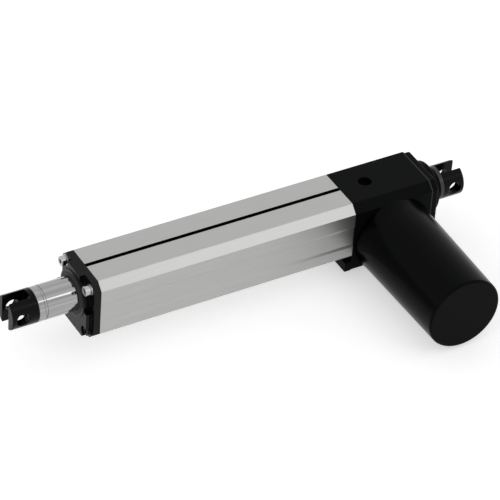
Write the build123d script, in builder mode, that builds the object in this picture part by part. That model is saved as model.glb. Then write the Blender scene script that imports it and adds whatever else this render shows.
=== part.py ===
from build123d import *
import math
import os

# Electric linear actuator, fully retracted. The origin is the centre of the rear fork's pin hole.
# +X runs along the screw towards the front fork, +Y along the motor, and +Z up to the grooved face.

# Driving sizes of the actuator
stroke = 150.0
rod_diameter = 30.0
rod_bore = 22.0
pin_hole_diameter = 12.2
screw_diameter = 16.0
gear_module = 1.0
wheel_teeth = 24
worm_pitch_diameter = 8.0

socket_share = 0.29

# Clearances
running_gap = 0.05
thread_gap = 0.08
seat_gap = 0.02
slide_gap = 0.3
end_gap = 0.5
bush_end_gap = 0.7

# Square body shared by the tube, the front plate, the gearbox and the rear cover
body_width = 58.0
body_chamfer = 7.0
body_drop = 4.0
port_inset = 7.5

# Forks
fork_diameter = 30.0
fork_slot = 12.0
pin_to_end = 9.5
pin_to_root = 10.0
fork_end_round = 1.2
rear_stud_diameter = 18.0
fork_nut_length = 6.0
fork_nut_diameter = 36.0
fork_nut_notch_depth = 2.0
fork_nut_notch_width = 5.0
fork_ring_edge = 0.6

# Lengths along the screw, from the rear fork to the front fork
rear_ring_length = 4.5
cover_boss_length = 5.0
cover_disc_length = 6.0
cover_plate_length = 7.0
gasket_length = 1.0
gearbox_length = 75.5
nut_rear_gap = 4.0
nut_length = 35.0
nut_front_gap = 30.5
bush_in_tube = 21.0
front_flange_length = 6.0
front_step_length = 5.0
rod_standing_out = 31.5
rod_collar_length = 6.0
rod_neck_length = 2.0
rod_neck_depth = 0.8
rod_collar_edge = 0.5
fork_shank_length = 4.5

rear_ring_x = pin_to_root
cover_boss_x = rear_ring_x + rear_ring_length
cover_disc_x = cover_boss_x + cover_boss_length
cover_plate_x = cover_disc_x + cover_disc_length
gasket_x = cover_plate_x + cover_plate_length
gearbox_x = gasket_x + gasket_length
tube_x = gearbox_x + gearbox_length
tube_length = stroke + nut_length + nut_rear_gap + nut_front_gap + bush_in_tube
plate_x = tube_x + tube_length
front_step_x = plate_x + front_flange_length
plate_face_x = front_step_x + front_step_length
rod_collar_x = plate_face_x + rod_standing_out
front_shank_x = rod_collar_x + rod_collar_length
front_pin_x = front_shank_x + fork_shank_length + pin_to_root

# Rear cover
cover_boss_diameter = 30.0
cover_disc_diameter = 45.0
cover_inset = 1.0
cover_disc_round = 2.5
cover_screw_head = 7.0
cover_screw_head_length = 4.5
cover_screw_sink = 4.6
cover_screw_shank = 4.2
cover_screw_depth = 14.0
screw_tip_gap = 1.0

# Tube extrusion
bore_diameter = 39.0
groove_mouth = 3.9
groove_width = 6.5
groove_lip = 1.8
groove_depth = 3.6
panel_top = 9.35
panel_bottom = -12.35
panel_depth = 0.7
panel_ramp = 2.5
port_diameter = 4.2
channel_width = 28.0
channel_wall = 2.5
channel_web = 2.5
key_slot_width = 8.0
cavity_height = 20.0
cavity_outer_wall = 2.4
cavity_inner_wall = 2.8

# Gearbox housing
gearbox_bottom = -42.0
gearbox_foot = 6.0
gearbox_edge = 1.2
top_hole_diameter = 12.0
top_hole_setback = 25.2
top_hole_depth = 6.0
nut_pocket_diameter = 42.0
wheel_chamber_diameter = 31.0
bearing_length = 11.0
bearing_diameter = 35.0
bearing_bore = 15.0
ball_radius = 3.0
ball_count = 9
race_gap = 2.0
retainer_length = 6.0
retainer_diameter = 37.0
retainer_bore = 26.0
retainer_notch_depth = 2.0
retainer_notch_width = 4.0
front_pocket_length = 6.0
boss_depth = 4.0
wheel_room = 7.0

# Lead screw and what it carries
journal_diameter = 10.0
screw_nose_back = 10.0
rear_bush_length = 9.0
rear_bush_diameter = 16.0
guide_length = 7.0
circlip_length = 1.2
circlip_diameter = 14.0
circlip_mouth_width = 3.0
circlip_mouth_depth = 3.0
circlip_setback = 1.0
screw_end_edge = 1.0
screw_nut_length = 6.0
screw_nut_across = 17.0
sleeve_diameter = 14.0
sleeve_length = 11.0
wheel_width = 10.0
wheel_key_size = 3.0
wheel_outer_radius = 12.8
wheel_root_radius = 10.7
tooth_tip_share = 0.11
tooth_root_share = 0.33

# Drive nut, rod and front bush
rod_seat_in_nut = 18.0
key_length = 12.0
key_width = 7.4
key_inner = -14.5
key_reach = 3.4
key_setback = 2.0
key_edge = 0.8
guide_ring_split = 1.5
guide_ring_length = 6.0
guide_ring_depth = 1.8
guide_ring_setback = 10.0
bush_shoulder = 1.5
wiper_depth = 5.0
plate_boss_diameter = 42.0
plate_boss_length = 0.8
wiper_diameter = 37.0
wiper_stand = 0.8
wiper_face_wall = 2.0
wiper_lip_wall = 0.8
wiper_lip_length = 1.0
wiper_lip_ramp = 0.6
plug_length = 10.0
arm_width = 21.0
lower_block_depth = 27.0
plate_screw_head = 9.0
plate_screw_head_length = 6.4
plate_washer_diameter = 9.6
plate_washer_length = 1.2
plate_screw_shank_length = 24.0

# Motor, on an axis across the screw
worm_turns = 4
worm_eccentric = 1.0
motor_z = -(wheel_teeth * gear_module + worm_pitch_diameter) / 2
worm_bore_diameter = 16.0
worm_shaft_diameter = 4.0
far_bush_y = -20.0
far_bush_length = 8.0
far_bush_gap = 1.0
worm_shaft_end_gap = 0.4
near_bush_y = 12.0
near_bush_length = 10.0
worm_bush_diameter = 14.0
motor_shaft_diameter = 8.0
motor_cover_length = 117.0
cover_gap = 2.5
cover_draft = 1.8
cover_flare = 0.9
cover_flare_length = 13.0
cover_rim = 1.0
cover_wall = 3.0
cover_end_wall = 3.5
cover_end_round = 2.0
motor_can_diameter = 60.0
motor_can_wall = 2.0
can_stand = 9.0
can_length = 88.0
motor_flange_length = 6.0
magnet_thickness = 5.0
magnet_setback = 6.0
magnet_end_gap = 28.0
magnet_sweep = 130.0
air_gap = 1.0
rotor_setback = 12.0
rotor_end_gap = 34.0
rotor_slots = 10
slot_width = 5.0
slot_depth = 11.0
slot_inset = 2.0
slot_mouth_width = 1.6
slot_mouth_depth = 3.0
winding_overhang = 6.0
winding_thickness = 2.2
winding_inset = 2.5
winding_gap = 1.0
commutator_setback = 10.0
commutator_length = 12.0
commutator_diameter = 18.0
segments = 10
segment_cut = 0.6
segment_cut_depth = 1.2
holder_setback = 2.0
holder_length = 3.0
brush_width = 5.0
brush_length = 10.0
end_bush_length = 8.0
end_bush_diameter = 16.0
spigot_diameter = 50.0
flange_bore_gap = 1.0
flange_notch_radius = 3.0
holder_ring_gap = 2.5
holder_arm_offset = 3.0
holder_wall = 2.0

# Switch gear in the tube's lower channel
board_thickness = 1.4
board_width = 24.0
board_end_gap = 6.0
switch_length = 13.0
switch_width = 6.0
switch_roof_gap = 1.28
switch_offset = 6.0
plunger_width = 3.0
plunger_height = 1.6
plunger_drop = 1.0
switch_edge = 0.5

# Values worked out from the sizes above
half_body = body_width / 2
body_top = half_body - body_drop
body_bottom = -half_body - body_drop
port_offset = half_body - port_inset
channel_floor = body_bottom + channel_wall
channel_roof = -bore_diameter / 2 - channel_web
cavity_inner = bore_diameter / 2 + cavity_inner_wall
cavity_outer = half_body - panel_depth - cavity_outer_wall
cavity_thickness = cavity_outer - cavity_inner
cavity_centre = (cavity_outer + cavity_inner) / 2
nut_diameter = bore_diameter - 2 * slide_gap
guide_ring_groove = nut_diameter / 2 - guide_ring_depth
port_radius = port_offset * math.sqrt(2)
rod_radius = rod_diameter / 2
screw_radius = screw_diameter / 2
screw_front_x = plate_x - screw_nose_back
retainer_x = tube_x - front_pocket_length - retainer_length
bearing_x = retainer_x - bearing_length
spacer_x = bearing_x - sleeve_length
motor_x = spacer_x - wheel_width / 2
wheel_x = motor_x - wheel_width / 2
wheel_chamber_x = wheel_x - screw_nut_length - wheel_room
screw_tail_x = wheel_chamber_x - rear_bush_length - bush_end_gap
top_hole_x = tube_x - top_hole_setback
nut_x = tube_x + nut_rear_gap
rod_x = nut_x + nut_length - rod_seat_in_nut
key_x = nut_x + key_setback
key_bottom = channel_roof - key_reach
bush_x = plate_x - bush_in_tube
wiper_x = plate_face_x - wiper_depth
wiper_end_x = plate_face_x + plate_boss_length + wiper_stand
worm_lead = math.pi * gear_module
worm_length = worm_turns * worm_lead
worm_y = -worm_length / 2
worm_helix = math.atan(worm_lead / (math.pi * worm_pitch_diameter))
wheel_twist = math.degrees(math.tan(worm_helix) * wheel_width / (wheel_teeth * gear_module / 2))
boss_y = half_body - boss_depth
cover_end_y = half_body + motor_cover_length
cover_base_radius = motor_can_diameter / 2 + cover_gap + cover_wall
cover_end_radius = cover_base_radius - cover_draft
cover_flare_radius = cover_base_radius + cover_flare
can_start_y = half_body + can_stand
can_end_y = can_start_y + can_length
magnet_start_y = can_start_y + magnet_setback
magnet_end_y = can_end_y - magnet_end_gap
rotor_start_y = can_start_y + rotor_setback
rotor_end_y = can_end_y - rotor_end_gap
commutator_y = rotor_end_y + commutator_setback
holder_y = commutator_y - holder_setback
end_bush_y = can_end_y - end_bush_length
motor_axis = Axis((motor_x, 0, motor_z), (0, 1, 0))

os.makedirs("parts", exist_ok=True)


def across(x, z=0.0):
    """Plane square to the screw at x, with local x along +Y and local y along +Z."""
    return Plane(origin=(x, 0, z), x_dir=(0, 1, 0), z_dir=(1, 0, 0))


def across_motor(y):
    """Plane square to the motor at y, with local x along +X and local y along -Z."""
    return Plane(origin=(motor_x, y, motor_z), x_dir=(1, 0, 0), z_dir=(0, 1, 0))


def screw_outline(*corners):
    """Closed outline beside the screw's axis, from (x, radius) corners."""
    with BuildSketch(Plane.XZ) as outline:
        with BuildLine():
            Polyline(*corners, close=True)
        make_face()
    return outline.sketch


def motor_outline(*corners):
    """Closed outline beside the motor's axis, from (y, radius) corners."""
    beside = Plane(origin=(motor_x, 0, motor_z), x_dir=(0, 1, 0), z_dir=(1, 0, 0))
    with BuildSketch(beside) as outline:
        with BuildLine():
            Polyline(*corners, close=True)
        make_face()
    return outline.sketch


def ring_outline(plane, outer, inner):
    """Ring between two radii on a plane."""
    with BuildSketch(plane) as outline:
        Circle(outer)
        Circle(inner, mode=Mode.SUBTRACT)
    return outline.sketch


def body_outline(plane):
    """Chamfered square of the tube, on a plane whose origin is the tube's centre."""
    with BuildSketch(plane) as outline:
        square = Rectangle(body_width, body_width)
        chamfer(square.vertices(), body_chamfer)
    return outline.sketch


def gearbox_outline(plane, inset=0.0):
    """Outline of the gearbox: the tube's chamfered shoulders on a deeper, square-cornered block."""
    side = half_body - inset
    top = body_top - inset
    bottom = gearbox_bottom + inset
    with BuildSketch(plane) as outline:
        with BuildLine():
            Polyline(
                (-side, bottom),
                (side, bottom),
                (side, top - body_chamfer),
                (side - body_chamfer, top),
                (-side + body_chamfer, top),
                (-side, top - body_chamfer),
                close=True,
            )
        make_face()
        fillet(outline.vertices().group_by(Axis.Z)[0], gearbox_edge)
    return outline.sketch


# Forks

with BuildPart() as rear_fork:
    with BuildSketch(across(-pin_to_end)):
        Circle(fork_diameter / 2)
    extrude(amount=pin_to_end + rear_ring_x)
    fillet(rear_fork.faces().sort_by(Axis.X)[0].edges(), fork_end_round)
    with BuildSketch(across(rear_ring_x)):
        Circle(rear_stud_diameter / 2)
    extrude(amount=gasket_x + fork_nut_length - rear_ring_x)
    with BuildSketch(Plane.XZ):
        with Locations((-pin_to_end, 0)):
            Rectangle(pin_to_end + pin_to_root, 2 * fork_diameter, align=(Align.MIN, Align.CENTER))
    extrude(amount=fork_slot / 2, both=True, mode=Mode.SUBTRACT)
    with BuildSketch(Plane.XZ):
        Circle(pin_hole_diameter / 2)
    extrude(amount=fork_diameter, both=True, mode=Mode.SUBTRACT)
rear_fork.part.label = "rear_fork"
export_step(rear_fork.part, "parts/rear_fork.step")

with BuildPart() as rear_fork_ring:
    ring = ring_outline(across(rear_ring_x), fork_diameter / 2, rear_stud_diameter / 2 + seat_gap)
    extrude(ring, amount=rear_ring_length)
    chamfer(rear_fork_ring.edges().filter_by(GeomType.CIRCLE).group_by(SortBy.RADIUS)[-1], fork_ring_edge)
rear_fork_ring.part.label = "rear_fork_ring"
export_step(rear_fork_ring.part, "parts/rear_fork_ring.step")

with BuildPart() as rear_fork_nut:
    with BuildSketch(across(gasket_x)):
        Circle(fork_nut_diameter / 2)
        Circle(rear_stud_diameter / 2 + seat_gap, mode=Mode.SUBTRACT)
        with PolarLocations(fork_nut_diameter / 2, 4):
            Rectangle(2 * fork_nut_notch_depth, fork_nut_notch_width, mode=Mode.SUBTRACT)
    extrude(amount=fork_nut_length)
rear_fork_nut.part.label = "rear_fork_nut"
export_step(rear_fork_nut.part, "parts/rear_fork_nut.step")

with BuildPart() as front_fork:
    with BuildSketch(across(front_shank_x)):
        Circle(fork_diameter / 2)
    extrude(amount=front_pin_x + pin_to_end - front_shank_x)
    fillet(front_fork.faces().sort_by(Axis.X)[-1].edges(), fork_end_round)
    with BuildSketch(across(front_shank_x)):
        Circle(rod_bore / 2 - seat_gap)
    extrude(amount=-(rod_collar_length + plug_length))
    with BuildSketch(Plane.XZ):
        with Locations((front_pin_x + pin_to_end, 0)):
            Rectangle(pin_to_end + pin_to_root, 2 * fork_diameter, align=(Align.MAX, Align.CENTER))
    extrude(amount=fork_slot / 2, both=True, mode=Mode.SUBTRACT)
    with BuildSketch(Plane.XZ):
        with Locations((front_pin_x, 0)):
            Circle(pin_hole_diameter / 2)
    extrude(amount=fork_diameter, both=True, mode=Mode.SUBTRACT)
front_fork.part.label = "front_fork"
export_step(front_fork.part, "parts/front_fork.step")

# Rear cover and its gasket and screws

with BuildPart() as rear_cover:
    plate = gearbox_outline(across(cover_plate_x), cover_inset)
    extrude(plate, amount=cover_plate_length)
    outer = rear_cover.faces().sort_by(Axis.X)[0].edges()
    fillet(outer, cover_disc_round)
    boss = screw_outline(
        (cover_boss_x, 0),
        (cover_boss_x, cover_boss_diameter / 2),
        (cover_disc_x, cover_boss_diameter / 2),
        (cover_disc_x, cover_disc_diameter / 2),
        (cover_plate_x, cover_disc_diameter / 2),
        (cover_plate_x, 0),
    )
    revolve(boss, axis=Axis.X)
    with BuildSketch(across(cover_boss_x)):
        Circle(rear_stud_diameter / 2 + running_gap)
    extrude(amount=gasket_x - cover_boss_x, mode=Mode.SUBTRACT)
    with BuildSketch(across(cover_plate_x, -body_drop)):
        with PolarLocations(port_radius, 4, start_angle=45):
            Circle(cover_screw_head / 2 + seat_gap)
    extrude(amount=cover_screw_sink, mode=Mode.SUBTRACT)
    with BuildSketch(across(cover_plate_x, -body_drop)):
        with PolarLocations(port_radius, 4, start_angle=45):
            Circle(cover_screw_shank / 2 + seat_gap)
    extrude(amount=cover_plate_length, mode=Mode.SUBTRACT)
    rim = rear_cover.edges().filter_by(GeomType.CIRCLE).filter_by_position(
        Axis.X, cover_disc_x - seat_gap, cover_disc_x + seat_gap
    )
    fillet(rim.group_by(SortBy.RADIUS)[-1], cover_disc_round)
rear_cover.part.label = "rear_cover"
export_step(rear_cover.part, "parts/rear_cover.step")

with BuildPart() as cover_gasket:
    outline = gearbox_outline(across(gasket_x))
    extrude(outline, amount=gasket_length)
    with BuildSketch(across(gasket_x)):
        Circle(nut_pocket_diameter / 2)
    extrude(amount=gasket_length, mode=Mode.SUBTRACT)
    with BuildSketch(across(gasket_x, -body_drop)):
        with PolarLocations(port_radius, 4, start_angle=45):
            Circle(cover_screw_shank / 2 + seat_gap)
    extrude(amount=gasket_length, mode=Mode.SUBTRACT)
cover_gasket.part.label = "cover_gasket"
export_step(cover_gasket.part, "parts/cover_gasket.step")

with BuildPart() as rear_cover_screws:
    with BuildSketch(across(cover_plate_x + cover_screw_sink, -body_drop)):
        with PolarLocations(port_radius, 4, start_angle=45):
            Circle(cover_screw_head / 2)
    extrude(amount=-cover_screw_head_length)
    with BuildSketch(across(cover_plate_x + cover_screw_sink, -body_drop)):
        with PolarLocations(port_radius, 4, start_angle=45):
            Circle(cover_screw_shank / 2)
    extrude(amount=gearbox_x + cover_screw_depth - cover_plate_x - cover_screw_sink)
    with BuildSketch(across(cover_plate_x + cover_screw_sink - cover_screw_head_length, -body_drop)):
        with PolarLocations(port_radius, 4, start_angle=45):
            RegularPolygon(cover_screw_head * socket_share, 6)
    extrude(amount=cover_screw_head_length / 2, mode=Mode.SUBTRACT)
rear_cover_screws.part.label = "rear_cover_screws"
export_step(rear_cover_screws.part, "parts/rear_cover_screws.step")

# Gearbox housing, bored along the screw and across for the worm

with BuildPart() as gearbox_housing:
    outline = gearbox_outline(across(gearbox_x))
    extrude(outline, amount=gearbox_length)
    with BuildSketch(across(tube_x)):
        with Locations((0, (gearbox_bottom + body_bottom) / 2)):
            Rectangle(body_width, body_bottom - gearbox_bottom)
    extrude(amount=gearbox_foot)
    with BuildSketch(across_motor(boss_y)):
        Circle(cover_flare_radius)
        with Locations((gearbox_x - motor_x, 0)):
            Rectangle(
                gearbox_length,
                4 * cover_flare_radius,
                align=(Align.MIN, Align.CENTER),
                mode=Mode.INTERSECT,
            )
    extrude(amount=half_body - boss_y)
    bore = screw_outline(
        (gearbox_x, 0),
        (gearbox_x, nut_pocket_diameter / 2),
        (gasket_x + fork_nut_length + end_gap, nut_pocket_diameter / 2),
        (gasket_x + fork_nut_length + end_gap, 0),
    )
    revolve(bore, axis=Axis.X, mode=Mode.SUBTRACT)
    bore = screw_outline(
        (screw_tail_x - bush_end_gap, 0),
        (screw_tail_x - bush_end_gap, rear_bush_diameter / 2 + seat_gap),
        (wheel_chamber_x, rear_bush_diameter / 2 + seat_gap),
        (wheel_chamber_x, wheel_chamber_diameter / 2),
        (bearing_x, wheel_chamber_diameter / 2),
        (bearing_x, bearing_diameter / 2 + seat_gap),
        (retainer_x, bearing_diameter / 2 + seat_gap),
        (retainer_x, retainer_diameter / 2 + seat_gap),
        (retainer_x + retainer_length, retainer_diameter / 2 + seat_gap),
        (retainer_x + retainer_length, bore_diameter / 2),
        (tube_x, bore_diameter / 2),
        (tube_x, 0),
    )
    revolve(bore, axis=Axis.X, mode=Mode.SUBTRACT)
    bore = motor_outline(
        (far_bush_y - far_bush_gap, 0),
        (far_bush_y - far_bush_gap, worm_bush_diameter / 2 + seat_gap),
        (far_bush_y + far_bush_length, worm_bush_diameter / 2 + seat_gap),
        (far_bush_y + far_bush_length, worm_bore_diameter / 2),
        (near_bush_y, worm_bore_diameter / 2),
        (near_bush_y, worm_bush_diameter / 2 + seat_gap),
        (half_body, worm_bush_diameter / 2 + seat_gap),
        (half_body, 0),
    )
    revolve(bore, axis=motor_axis, mode=Mode.SUBTRACT)
    with BuildSketch(Plane.XY.offset(body_top)):
        with Locations((top_hole_x, 0)):
            Circle(top_hole_diameter / 2)
    extrude(amount=-top_hole_depth, mode=Mode.SUBTRACT)
    with BuildSketch(across(gearbox_x, -body_drop)):
        with PolarLocations(port_radius, 4, start_angle=45):
            Circle(cover_screw_shank / 2 + seat_gap)
    extrude(amount=cover_screw_depth + screw_tip_gap, mode=Mode.SUBTRACT)
    with BuildSketch(across(tube_x, -body_drop)):
        with PolarLocations(port_radius, 4, start_angle=45):
            Circle(port_diameter / 2)
    extrude(amount=-cover_screw_depth, mode=Mode.SUBTRACT)
gearbox_housing.part.label = "gearbox_housing"
export_step(gearbox_housing.part, "parts/gearbox_housing.step")

with BuildPart() as gearbox_tube_screws:
    with BuildSketch(across(tube_x, -body_drop)):
        with PolarLocations(port_radius, 4, start_angle=45):
            Circle(port_diameter / 2 - seat_gap)
    extrude(amount=cover_screw_depth - screw_tip_gap, both=True)
gearbox_tube_screws.part.label = "gearbox_tube_screws"
export_step(gearbox_tube_screws.part, "parts/gearbox_tube_screws.step")

with BuildPart() as bearing_retainer:
    with BuildSketch(across(retainer_x)):
        Circle(retainer_diameter / 2)
        Circle(retainer_bore / 2, mode=Mode.SUBTRACT)
        with PolarLocations(retainer_bore / 2, 4):
            Rectangle(2 * retainer_notch_depth, retainer_notch_width, mode=Mode.SUBTRACT)
    extrude(amount=retainer_length)
bearing_retainer.part.label = "bearing_retainer"
export_step(bearing_retainer.part, "parts/bearing_retainer.step")

ball_circle = (bearing_diameter + bearing_bore) / 4

with BuildPart() as main_bearing_outer:
    race = ring_outline(across(bearing_x), bearing_diameter / 2, ball_circle + race_gap)
    extrude(race, amount=bearing_length)
    with BuildSketch(Plane.XZ):
        with Locations((bearing_x + bearing_length / 2, ball_circle)):
            Circle(ball_radius + running_gap)
    revolve(axis=Axis.X, mode=Mode.SUBTRACT)
main_bearing_outer.part.label = "main_bearing_outer"
export_step(main_bearing_outer.part, "parts/main_bearing_outer.step")

with BuildPart() as main_bearing_inner:
    race = ring_outline(across(bearing_x), ball_circle - race_gap, bearing_bore / 2 + seat_gap)
    extrude(race, amount=bearing_length)
    with BuildSketch(Plane.XZ):
        with Locations((bearing_x + bearing_length / 2, ball_circle)):
            Circle(ball_radius + running_gap)
    revolve(axis=Axis.X, mode=Mode.SUBTRACT)
main_bearing_inner.part.label = "main_bearing_inner"
export_step(main_bearing_inner.part, "parts/main_bearing_inner.step")

with BuildPart() as main_bearing_balls:
    with Locations(across(bearing_x + bearing_length / 2)):
        with PolarLocations(ball_circle, ball_count):
            Sphere(ball_radius)
main_bearing_balls.part.label = "main_bearing_balls"
export_step(main_bearing_balls.part, "parts/main_bearing_balls.step")

with BuildPart() as rear_screw_bush:
    bush = ring_outline(
        across(wheel_chamber_x - rear_bush_length),
        rear_bush_diameter / 2,
        journal_diameter / 2 + running_gap,
    )
    extrude(bush, amount=rear_bush_length)
rear_screw_bush.part.label = "rear_screw_bush"
export_step(rear_screw_bush.part, "parts/rear_screw_bush.step")

# Tube, front plate and what they hold

with BuildPart() as outer_tube:
    square = body_outline(across(tube_x, -body_drop))
    extrude(square, amount=tube_length)
    with BuildSketch(across(tube_x, -body_drop)):
        with Locations((0, half_body)):
            Rectangle(groove_mouth, 2 * groove_lip)
        with Locations((0, half_body - groove_depth)):
            Rectangle(groove_width, groove_depth - groove_lip, align=(Align.CENTER, Align.MIN))
        with BuildLine():
            Polyline(
                (half_body, panel_bottom),
                (half_body - panel_depth, panel_bottom + panel_ramp),
                (half_body - panel_depth, panel_top - panel_ramp),
                (half_body, panel_top),
                close=True,
            )
        panel = make_face()
        mirror(panel, about=Plane.YZ)
        with Locations((0, body_drop)):
            Circle(bore_diameter / 2)
        with Locations((0, body_drop + (channel_floor + channel_roof) / 2)):
            Rectangle(channel_width, channel_roof - channel_floor)
        with Locations((0, body_drop + channel_roof)):
            Rectangle(key_slot_width, -channel_roof, align=(Align.CENTER, Align.MIN))
        with Locations((-cavity_centre, body_drop), (cavity_centre, body_drop)):
            SlotOverall(cavity_height, cavity_thickness, rotation=90)
        with PolarLocations(port_radius, 4, start_angle=45):
            Circle(port_diameter / 2)
    extrude(amount=tube_length, mode=Mode.SUBTRACT)
outer_tube.part.label = "outer_tube"
export_step(outer_tube.part, "parts/outer_tube.step")

with BuildPart() as front_end_plate:
    flange = body_outline(across(plate_x, -body_drop))
    extrude(flange, amount=front_flange_length)
    square = body_outline(across(front_step_x, -body_drop))
    with BuildSketch(across(front_step_x, -body_drop)):
        with Locations((0, half_body)):
            Rectangle(arm_width, body_width, align=(Align.CENTER, Align.MAX))
        with Locations((0, -half_body)):
            Rectangle(body_width, lower_block_depth, align=(Align.CENTER, Align.MIN))
        with Locations((0, body_drop)):
            Circle(plate_boss_diameter / 2)
        add(square, mode=Mode.INTERSECT)
    extrude(amount=front_step_length)
    with BuildSketch(across(plate_face_x)):
        Circle(plate_boss_diameter / 2 - seat_gap)
    extrude(amount=plate_boss_length)
    fillet(front_end_plate.faces().sort_by(Axis.X)[-1].edges(), plate_boss_length / 2)
    bore = screw_outline(
        (plate_x, 0),
        (plate_x, bore_diameter / 2 - bush_shoulder + seat_gap),
        (wiper_x, bore_diameter / 2 - bush_shoulder + seat_gap),
        (wiper_x, wiper_diameter / 2 + seat_gap),
        (plate_face_x + plate_boss_length, wiper_diameter / 2 + seat_gap),
        (plate_face_x + plate_boss_length, 0),
    )
    revolve(bore, axis=Axis.X, mode=Mode.SUBTRACT)
    with BuildSketch(across(plate_face_x, -body_drop)):
        with PolarLocations(port_radius, 4, start_angle=45):
            Circle(plate_washer_diameter / 2 + slide_gap)
    extrude(amount=-front_step_length, mode=Mode.SUBTRACT)
    with BuildSketch(across(plate_x, -body_drop)):
        with PolarLocations(port_radius, 4, start_angle=45):
            Circle(port_diameter / 2)
    extrude(amount=front_flange_length, mode=Mode.SUBTRACT)
front_end_plate.part.label = "front_end_plate"
export_step(front_end_plate.part, "parts/front_end_plate.step")

screw_seat_x = front_step_x + plate_washer_length

with BuildPart() as front_plate_washers:
    with BuildSketch(across(front_step_x, -body_drop)):
        with PolarLocations(port_radius, 4, start_angle=45):
            Circle(plate_washer_diameter / 2)
            Circle(port_diameter / 2 + seat_gap, mode=Mode.SUBTRACT)
    extrude(amount=plate_washer_length)
front_plate_washers.part.label = "front_plate_washers"
export_step(front_plate_washers.part, "parts/front_plate_washers.step")

with BuildPart() as front_plate_screws:
    with BuildSketch(across(screw_seat_x, -body_drop)):
        with PolarLocations(port_radius, 4, start_angle=45):
            Circle(plate_screw_head / 2)
    extrude(amount=plate_screw_head_length)
    with BuildSketch(across(screw_seat_x + plate_screw_head_length, -body_drop)):
        with PolarLocations(port_radius, 4, start_angle=45):
            RegularPolygon(plate_screw_head * socket_share, 6)
    extrude(amount=-plate_screw_head_length / 2, mode=Mode.SUBTRACT)
    with BuildSketch(across(screw_seat_x, -body_drop)):
        with PolarLocations(port_radius, 4, start_angle=45):
            Circle(port_diameter / 2 - seat_gap)
    extrude(amount=-plate_screw_shank_length)
front_plate_screws.part.label = "front_plate_screws"
export_step(front_plate_screws.part, "parts/front_plate_screws.step")

with BuildPart() as guide_bush:
    bush = screw_outline(
        (bush_x, rod_radius + running_gap),
        (bush_x, bore_diameter / 2 - seat_gap),
        (plate_x, bore_diameter / 2 - seat_gap),
        (plate_x, bore_diameter / 2 - bush_shoulder),
        (wiper_x, bore_diameter / 2 - bush_shoulder),
        (wiper_x, rod_radius + running_gap),
    )
    revolve(bush, axis=Axis.X)
guide_bush.part.label = "guide_bush"
export_step(guide_bush.part, "parts/guide_bush.step")

with BuildPart() as wiper_seal:
    seal = screw_outline(
        (wiper_x, rod_radius + slide_gap),
        (wiper_x, wiper_diameter / 2),
        (plate_face_x + plate_boss_length, wiper_diameter / 2),
        (plate_face_x + plate_boss_length, rod_radius + wiper_face_wall),
        (wiper_end_x, rod_radius + wiper_lip_wall),
        (wiper_end_x, rod_radius + running_gap),
        (wiper_end_x - wiper_lip_length, rod_radius + running_gap),
        (wiper_end_x - wiper_lip_length - wiper_lip_ramp, rod_radius + slide_gap),
    )
    revolve(seal, axis=Axis.X)
wiper_seal.part.label = "wiper_seal"
export_step(wiper_seal.part, "parts/wiper_seal.step")

board_x = tube_x + board_end_gap
board_length = bush_x - board_end_gap - board_x
key_middle_x = key_x + key_length / 2

with BuildPart() as switch_board:
    with BuildSketch(Plane.XY.offset(channel_floor + seat_gap)):
        with Locations((board_x + board_length / 2, 0)):
            Rectangle(board_length, board_width)
    extrude(amount=board_thickness)
switch_board.part.label = "switch_board"
export_step(switch_board.part, "parts/switch_board.step")

switch_floor = channel_floor + seat_gap + board_thickness
switch_height = channel_roof - switch_roof_gap - switch_floor


def limit_switch(middle_x):
    """Outline pair of one limit switch: its case beside the key's path, and its plunger."""
    with BuildPart() as switch:
        with BuildSketch(Plane.XY.offset(switch_floor)):
            with Locations((middle_x, switch_offset + switch_width / 2)):
                Rectangle(switch_length, switch_width)
        extrude(amount=switch_height)
        chamfer(switch.edges().filter_by(Axis.Z), switch_edge)
        with BuildSketch(Plane.XY.offset(switch_floor + switch_height - plunger_height - plunger_drop)):
            with Locations((middle_x, (switch_offset + key_width / 2 + slide_gap) / 2)):
                Rectangle(plunger_width, switch_offset - key_width / 2 - slide_gap)
        extrude(amount=plunger_height)
    return switch.part


with BuildPart() as rear_limit_switch:
    add(limit_switch(key_middle_x))
rear_limit_switch.part.label = "rear_limit_switch"
export_step(rear_limit_switch.part, "parts/rear_limit_switch.step")

with BuildPart() as front_limit_switch:
    add(limit_switch(key_middle_x + stroke))
front_limit_switch.part.label = "front_limit_switch"
export_step(front_limit_switch.part, "parts/front_limit_switch.step")

# Rod, drive nut and what moves with them

with BuildPart() as push_tube:
    tube = screw_outline(
        (rod_x, rod_bore / 2),
        (rod_x, rod_radius),
        (rod_collar_x - rod_neck_length, rod_radius),
        (rod_collar_x - rod_neck_length, rod_radius - rod_neck_depth),
        (rod_collar_x, rod_radius - rod_neck_depth),
        (rod_collar_x, rod_bore / 2),
    )
    revolve(tube, axis=Axis.X)
push_tube.part.label = "push_tube"
export_step(push_tube.part, "parts/push_tube.step")

with BuildPart() as rod_end_collar:
    collar = ring_outline(across(rod_collar_x), rod_radius, rod_bore / 2 + seat_gap)
    extrude(collar, amount=rod_collar_length)
    outer = rod_end_collar.edges().filter_by(GeomType.CIRCLE).group_by(SortBy.RADIUS)[-1]
    chamfer(outer, rod_collar_edge)
rod_end_collar.part.label = "rod_end_collar"
export_step(rod_end_collar.part, "parts/rod_end_collar.step")

ring_groove_x = nut_x + nut_length - guide_ring_setback

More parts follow.
